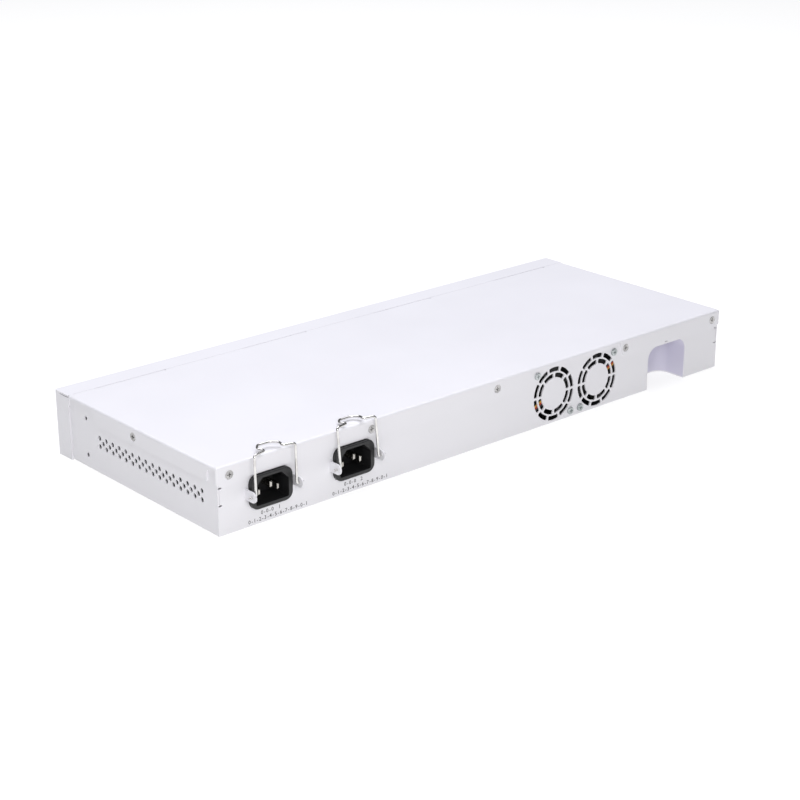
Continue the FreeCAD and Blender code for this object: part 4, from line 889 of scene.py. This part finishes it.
def folded_cover():
    cover = block("cover", (-HALF, SEAM_Y + 0.1, FLANGE_Z), (HALF, REAR_Y, HEIGHT))
    round_off(cover, BEND, lambda a, b: (min(a.z, b.z) > HEIGHT - 0.1 and max(a.y, b.y) > SEAM_Y + 1)
              or (runs(a, b, 2) and a.y > 0), BEND_STEPS)
    combined(cover, "DIFFERENCE",
             [block("cover_space", (-TRAY_X, SEAM_Y - 5, FLANGE_Z - 1), (TRAY_X, WALL_Y, HEIGHT - SHEET))])
    sides = block("side_waste", (-HALF - 9, SEAM_Y - 1, FLANGE_Z - 1),
                  (HALF + 9, WALL_Y - 0.6, HEIGHT - SHEET))
    for x0 in (TRAY_X, -TRAY_X - SHEET):
        combined(sides, "DIFFERENCE", [side_flange(x0)])
    combined(cover, "DIFFERENCE", [sides])
    fan_gap = [(-31.5, FLANGE_Z - 1), (-34.5, HEIGHT - 1.8), (-117.3, HEIGHT - 1.8), (-120.3, FLANGE_Z - 1)]
    cuts = [plate("fan_gap", [(x, WALL_Y - 1, z) for x, z in fan_gap], (0, 3, 0))]
    for x in REAR_SCREW_X:
        cuts.append(drum("screw_sink", SCREW_HOLE_R, (x, WALL_Y - 0.3, SCREW_Z), (0, 1, 0), SHEET + 0.31,
                         ROUND_SIDES, SINK_R))
    for side in (-1, 1):
        cuts.append(drum("screw_sink", SCREW_HOLE_R, (side * (TRAY_X - 0.3), SIDE_SCREW_Y, SCREW_Z),
                         (side, 0, 0), SHEET + 0.31, ROUND_SIDES, SINK_R))
    tabs = []
    for x in TAB_X:
        tabs.append(block("cover_tab", (x - TAB_HALF + 1, SEAM_Y - 6, HEIGHT - 2 * SHEET),
                          (x + TAB_HALF - 0.5, SEAM_Y + 5, HEIGHT - SHEET + 0.01)))
        gap = block("tab_gap", (x - TAB_HALF, SEAM_Y - 1, HEIGHT - SHEET + 0.02),
                    (x + TAB_HALF, SEAM_Y + 0.45, HEIGHT + 1))
        end = drum("tab_gap_end", 0.6, (x - TAB_HALF, SEAM_Y + 0.9, HEIGHT - 3), (0, 0, 1), 5, 20)
        cuts.append(combined(gap, "UNION", [end]))
    combined(cover, "DIFFERENCE", cuts)
    return combined(cover, "UNION", tabs)


# ---- the front panel -------------------------------------------------------------
def front_windows():
    """Openings for jacks, cages, light pipes and the reset button."""
    y0, y1 = FRONT_Y - 1, TRAY_FRONT
    low, high = BOARD_TOP - 0.3, BOARD_TOP + JACK_H + 0.6
    half = PORT_COUNT * PORT_PITCH / 2 + 1
    spans = [(x - half, x + half, high) for x in BLOCK_X]
    spans.append((CONSOLE_X - PORT_PITCH / 2 - 1, CONSOLE_X + PORT_PITCH / 2 + 1, high))
    spans += [(x - CAGE_W / 2 - 0.3, x + CAGE_W / 2 + 0.3, BOARD_TOP + CAGE_H + 0.4) for x in CAGE_X]
    cuts = [block("port_window", (x0, y0, low), (x1, y1, top)) for x0, x1, top in spans]
    cuts += [drum("status_window", 1.6, (x, y0, STATUS_Z), (0, 1, 0), 5, ROUND_SIDES) for x in STATUS_X]
    cuts += [drum("cage_light_window", 1.1, (x, y0, BOARD_TOP + CAGE_H + 4), (0, 1, 0), 5, ROUND_SIDES)
             for x in CAGE_X]
    cuts.append(drum("reset_window", 1.5, (RESET_X, y0, RESET_Z), (0, 1, 0), 5, ROUND_SIDES))
    return cuts


def folded_front():
    panel = block("front", (-HALF, FRONT_Y, 0), (HALF, SEAM_Y, HEIGHT))
    round_off(panel, BEND, lambda a, b: max(a.y, b.y) < FRONT_Y + 0.01 and runs(a, b, 2), BEND_STEPS)
    round_off(panel, TOP_BEND, lambda a, b: max(a.y, b.y) < FRONT_Y + 0.01 and min(a.z, b.z) > HEIGHT - 0.1
              and abs(a.x - b.x) > HALF, BEND_STEPS)
    space = block("front_space", (-TRAY_X, FRONT_Y + SHEET, -1), (TRAY_X, SEAM_Y + 1, HEIGHT - SHEET))
    round_off(space, TOP_BEND - SHEET, lambda a, b: max(a.y, b.y) < FRONT_Y + SHEET + 0.01
              and min(a.z, b.z) > HEIGHT - SHEET - 0.1, BEND_STEPS)
    combined(panel, "DIFFERENCE", [space])
    combined(panel, "DIFFERENCE",
             [block("top_trim", (-HALF - 9, SEAM_Y - 0.1, HEIGHT - SHEET - 0.6),
                    (HALF + 9, SEAM_Y + 1, HEIGHT + 1))])
    for side in (-1, 1):
        middle = side * (TRAY_X + SHEET / 2)
        combined(panel, "DIFFERENCE",
                 [block("fold_slit", (middle - 0.7, FRONT_Y + FOLD_SLIT_START, HEIGHT - SHEET - 0.6),
                        (middle + 0.7, SEAM_Y + 1, HEIGHT - SHEET))])
    cuts = front_windows()
    for side in (-1, 1):
        cuts.append(drum("flange_relief", 0.6, (side * TRAY_X - 1, SEAM_Y, 36.8), (1, 0, 0), 3, 20))
        for y, z in RIVETS:
            cuts.append(drum("rivet_sink", 0.99, (side * (TRAY_X - 0.01), y, z), (side, 0, 0), SHEET + 0.02,
                             ROUND_SIDES, 1.91))
    return combined(panel, "DIFFERENCE", cuts)


fitted(eased(folded_tray(), 0.1), "case", "white_paint", "base_tray")
fitted(eased(folded_cover(), 0.04), "case", "white_paint", "top_cover")
fitted(eased(folded_front(), 0.04), "case", "white_paint", "front_panel")


# ---- printed numbers -------------------------------------------------------------
def printed(name, text, place, size, facing, spread=1.0):
    """Flat printed characters on the rear or front of the case, a hair proud of the coat."""
    bpy.ops.object.select_all(action="DESELECT")
    bpy.ops.object.text_add(location=Vector(place) * MM)
    label = bpy.context.object
    label.data.body = text
    label.data.size = size * MM
    label.data.align_x = "CENTER"
    label.data.space_character = spread
    label.data.offset = 0.03 * MM
    label.data.extrude = 0.01 * MM
    label.data.resolution_u = 3
    label.rotation_euler = (math.pi / 2, 0, math.pi if facing == "rear" else 0)
    bpy.ops.object.convert(target="MESH")
    piece = settle(name)
    piece.data.materials.append(ink_grey)
    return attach(piece, "case")


for number, x in enumerate(INLET_X, 1):
    printed(f"inlet_{number}_number", f"0-0-0  {number}", (x - 0.5, WALL_Y + 0.01, 6.0),
            REAR_PRINT, "rear", REAR_SPREAD)
    printed(f"inlet_{number}_scale", "0-1-2-3-4-5-6-7-8-9-0-1", (x - 6.0, WALL_Y + 0.01, 2.2),
            REAR_PRINT, "rear", REAR_SPREAD)
for block_number, x in enumerate(BLOCK_X):
    for port in range(PORT_COUNT):
        number = block_number * PORT_COUNT + port + 1
        place = (x + (port - (PORT_COUNT - 1) / 2) * PORT_PITCH, FRONT_Y - 0.01, FRONT_PRINT_Z)
        printed(f"port_{number}_number", str(number), place, FRONT_PRINT, "front")
for number, x in enumerate(CAGE_X, 1 + 2 * PORT_COUNT):
    printed(f"cage_{number}_number", str(number), (x, FRONT_Y - 0.01, FRONT_PRINT_Z), FRONT_PRINT, "front")


# ---- finishes on the frame's own nodes ---------------------------------------------
for part in frame["record"]["subparts"]:
    node = frame["nodes"][part["node"]]
    # The cable notch liner gets the darker coat with painted shade instead of the white paint of its slot.
    finish = notch_painted_shade_coat if part["node"] == "cable_notch_liner" else finishes[part["material_slot"]]
    for place in node.material_slots:
        place.material = finish


# ---- studio ------------------------------------------------------------------------
bpy.ops.object.select_all(action="DESELECT")
bpy.ops.mesh.primitive_plane_add(size=30, location=(0, 0, -0.0002))
floor = bpy.context.object
floor.name = "studio_floor"
floor.data.materials.append(studio_floor("studio_paper"))

world = bpy.data.worlds.new("studio_light")
world.use_nodes = True
world.node_tree.nodes["Background"].inputs["Color"].default_value = (0.97, 0.975, 1, 1)
world.node_tree.nodes["Background"].inputs["Strength"].default_value = 0.12
bpy.context.scene.world = world


def soft_box(name, place, size, power, colour):
    """A soft light that points at the middle of the case."""
    bpy.ops.object.light_add(type="AREA", location=place)
    lamp = bpy.context.object
    lamp.name = name
    lamp.data.shape = "RECTANGLE"
    lamp.data.size, lamp.data.size_y = size
    lamp.data.energy = power
    lamp.data.color = colour
    lamp.rotation_euler = (Vector((0, 0, 0.02)) - Vector(place)).to_track_quat("-Z", "Y").to_euler()


soft_box("top_soft_box", (-0.1, -0.45, 1.8), (2.2, 2.2), 52.5, (0.94, 0.945, 1.0))
soft_box("rear_soft_box", (0.42, 0.62, 0.35), (0.4, 0.3), 2.3, (1.0, 0.99, 1.0))

camera = bpy.data.objects.new("view", bpy.data.cameras.new("view"))
bpy.context.scene.collection.objects.link(camera)
camera.location = VIEW_PLACE
camera.rotation_euler = (VIEW_BACK.to_track_quat("Z", "Y") @ Quaternion((0, 0, 1), VIEW_ROLL)).to_euler()
camera.data.lens = VIEW_LENS
camera.data.sensor_width = 36
camera.data.clip_start = 0.01
bpy.context.scene.camera = camera
bpy.context.scene.view_settings.view_transform = "Standard"
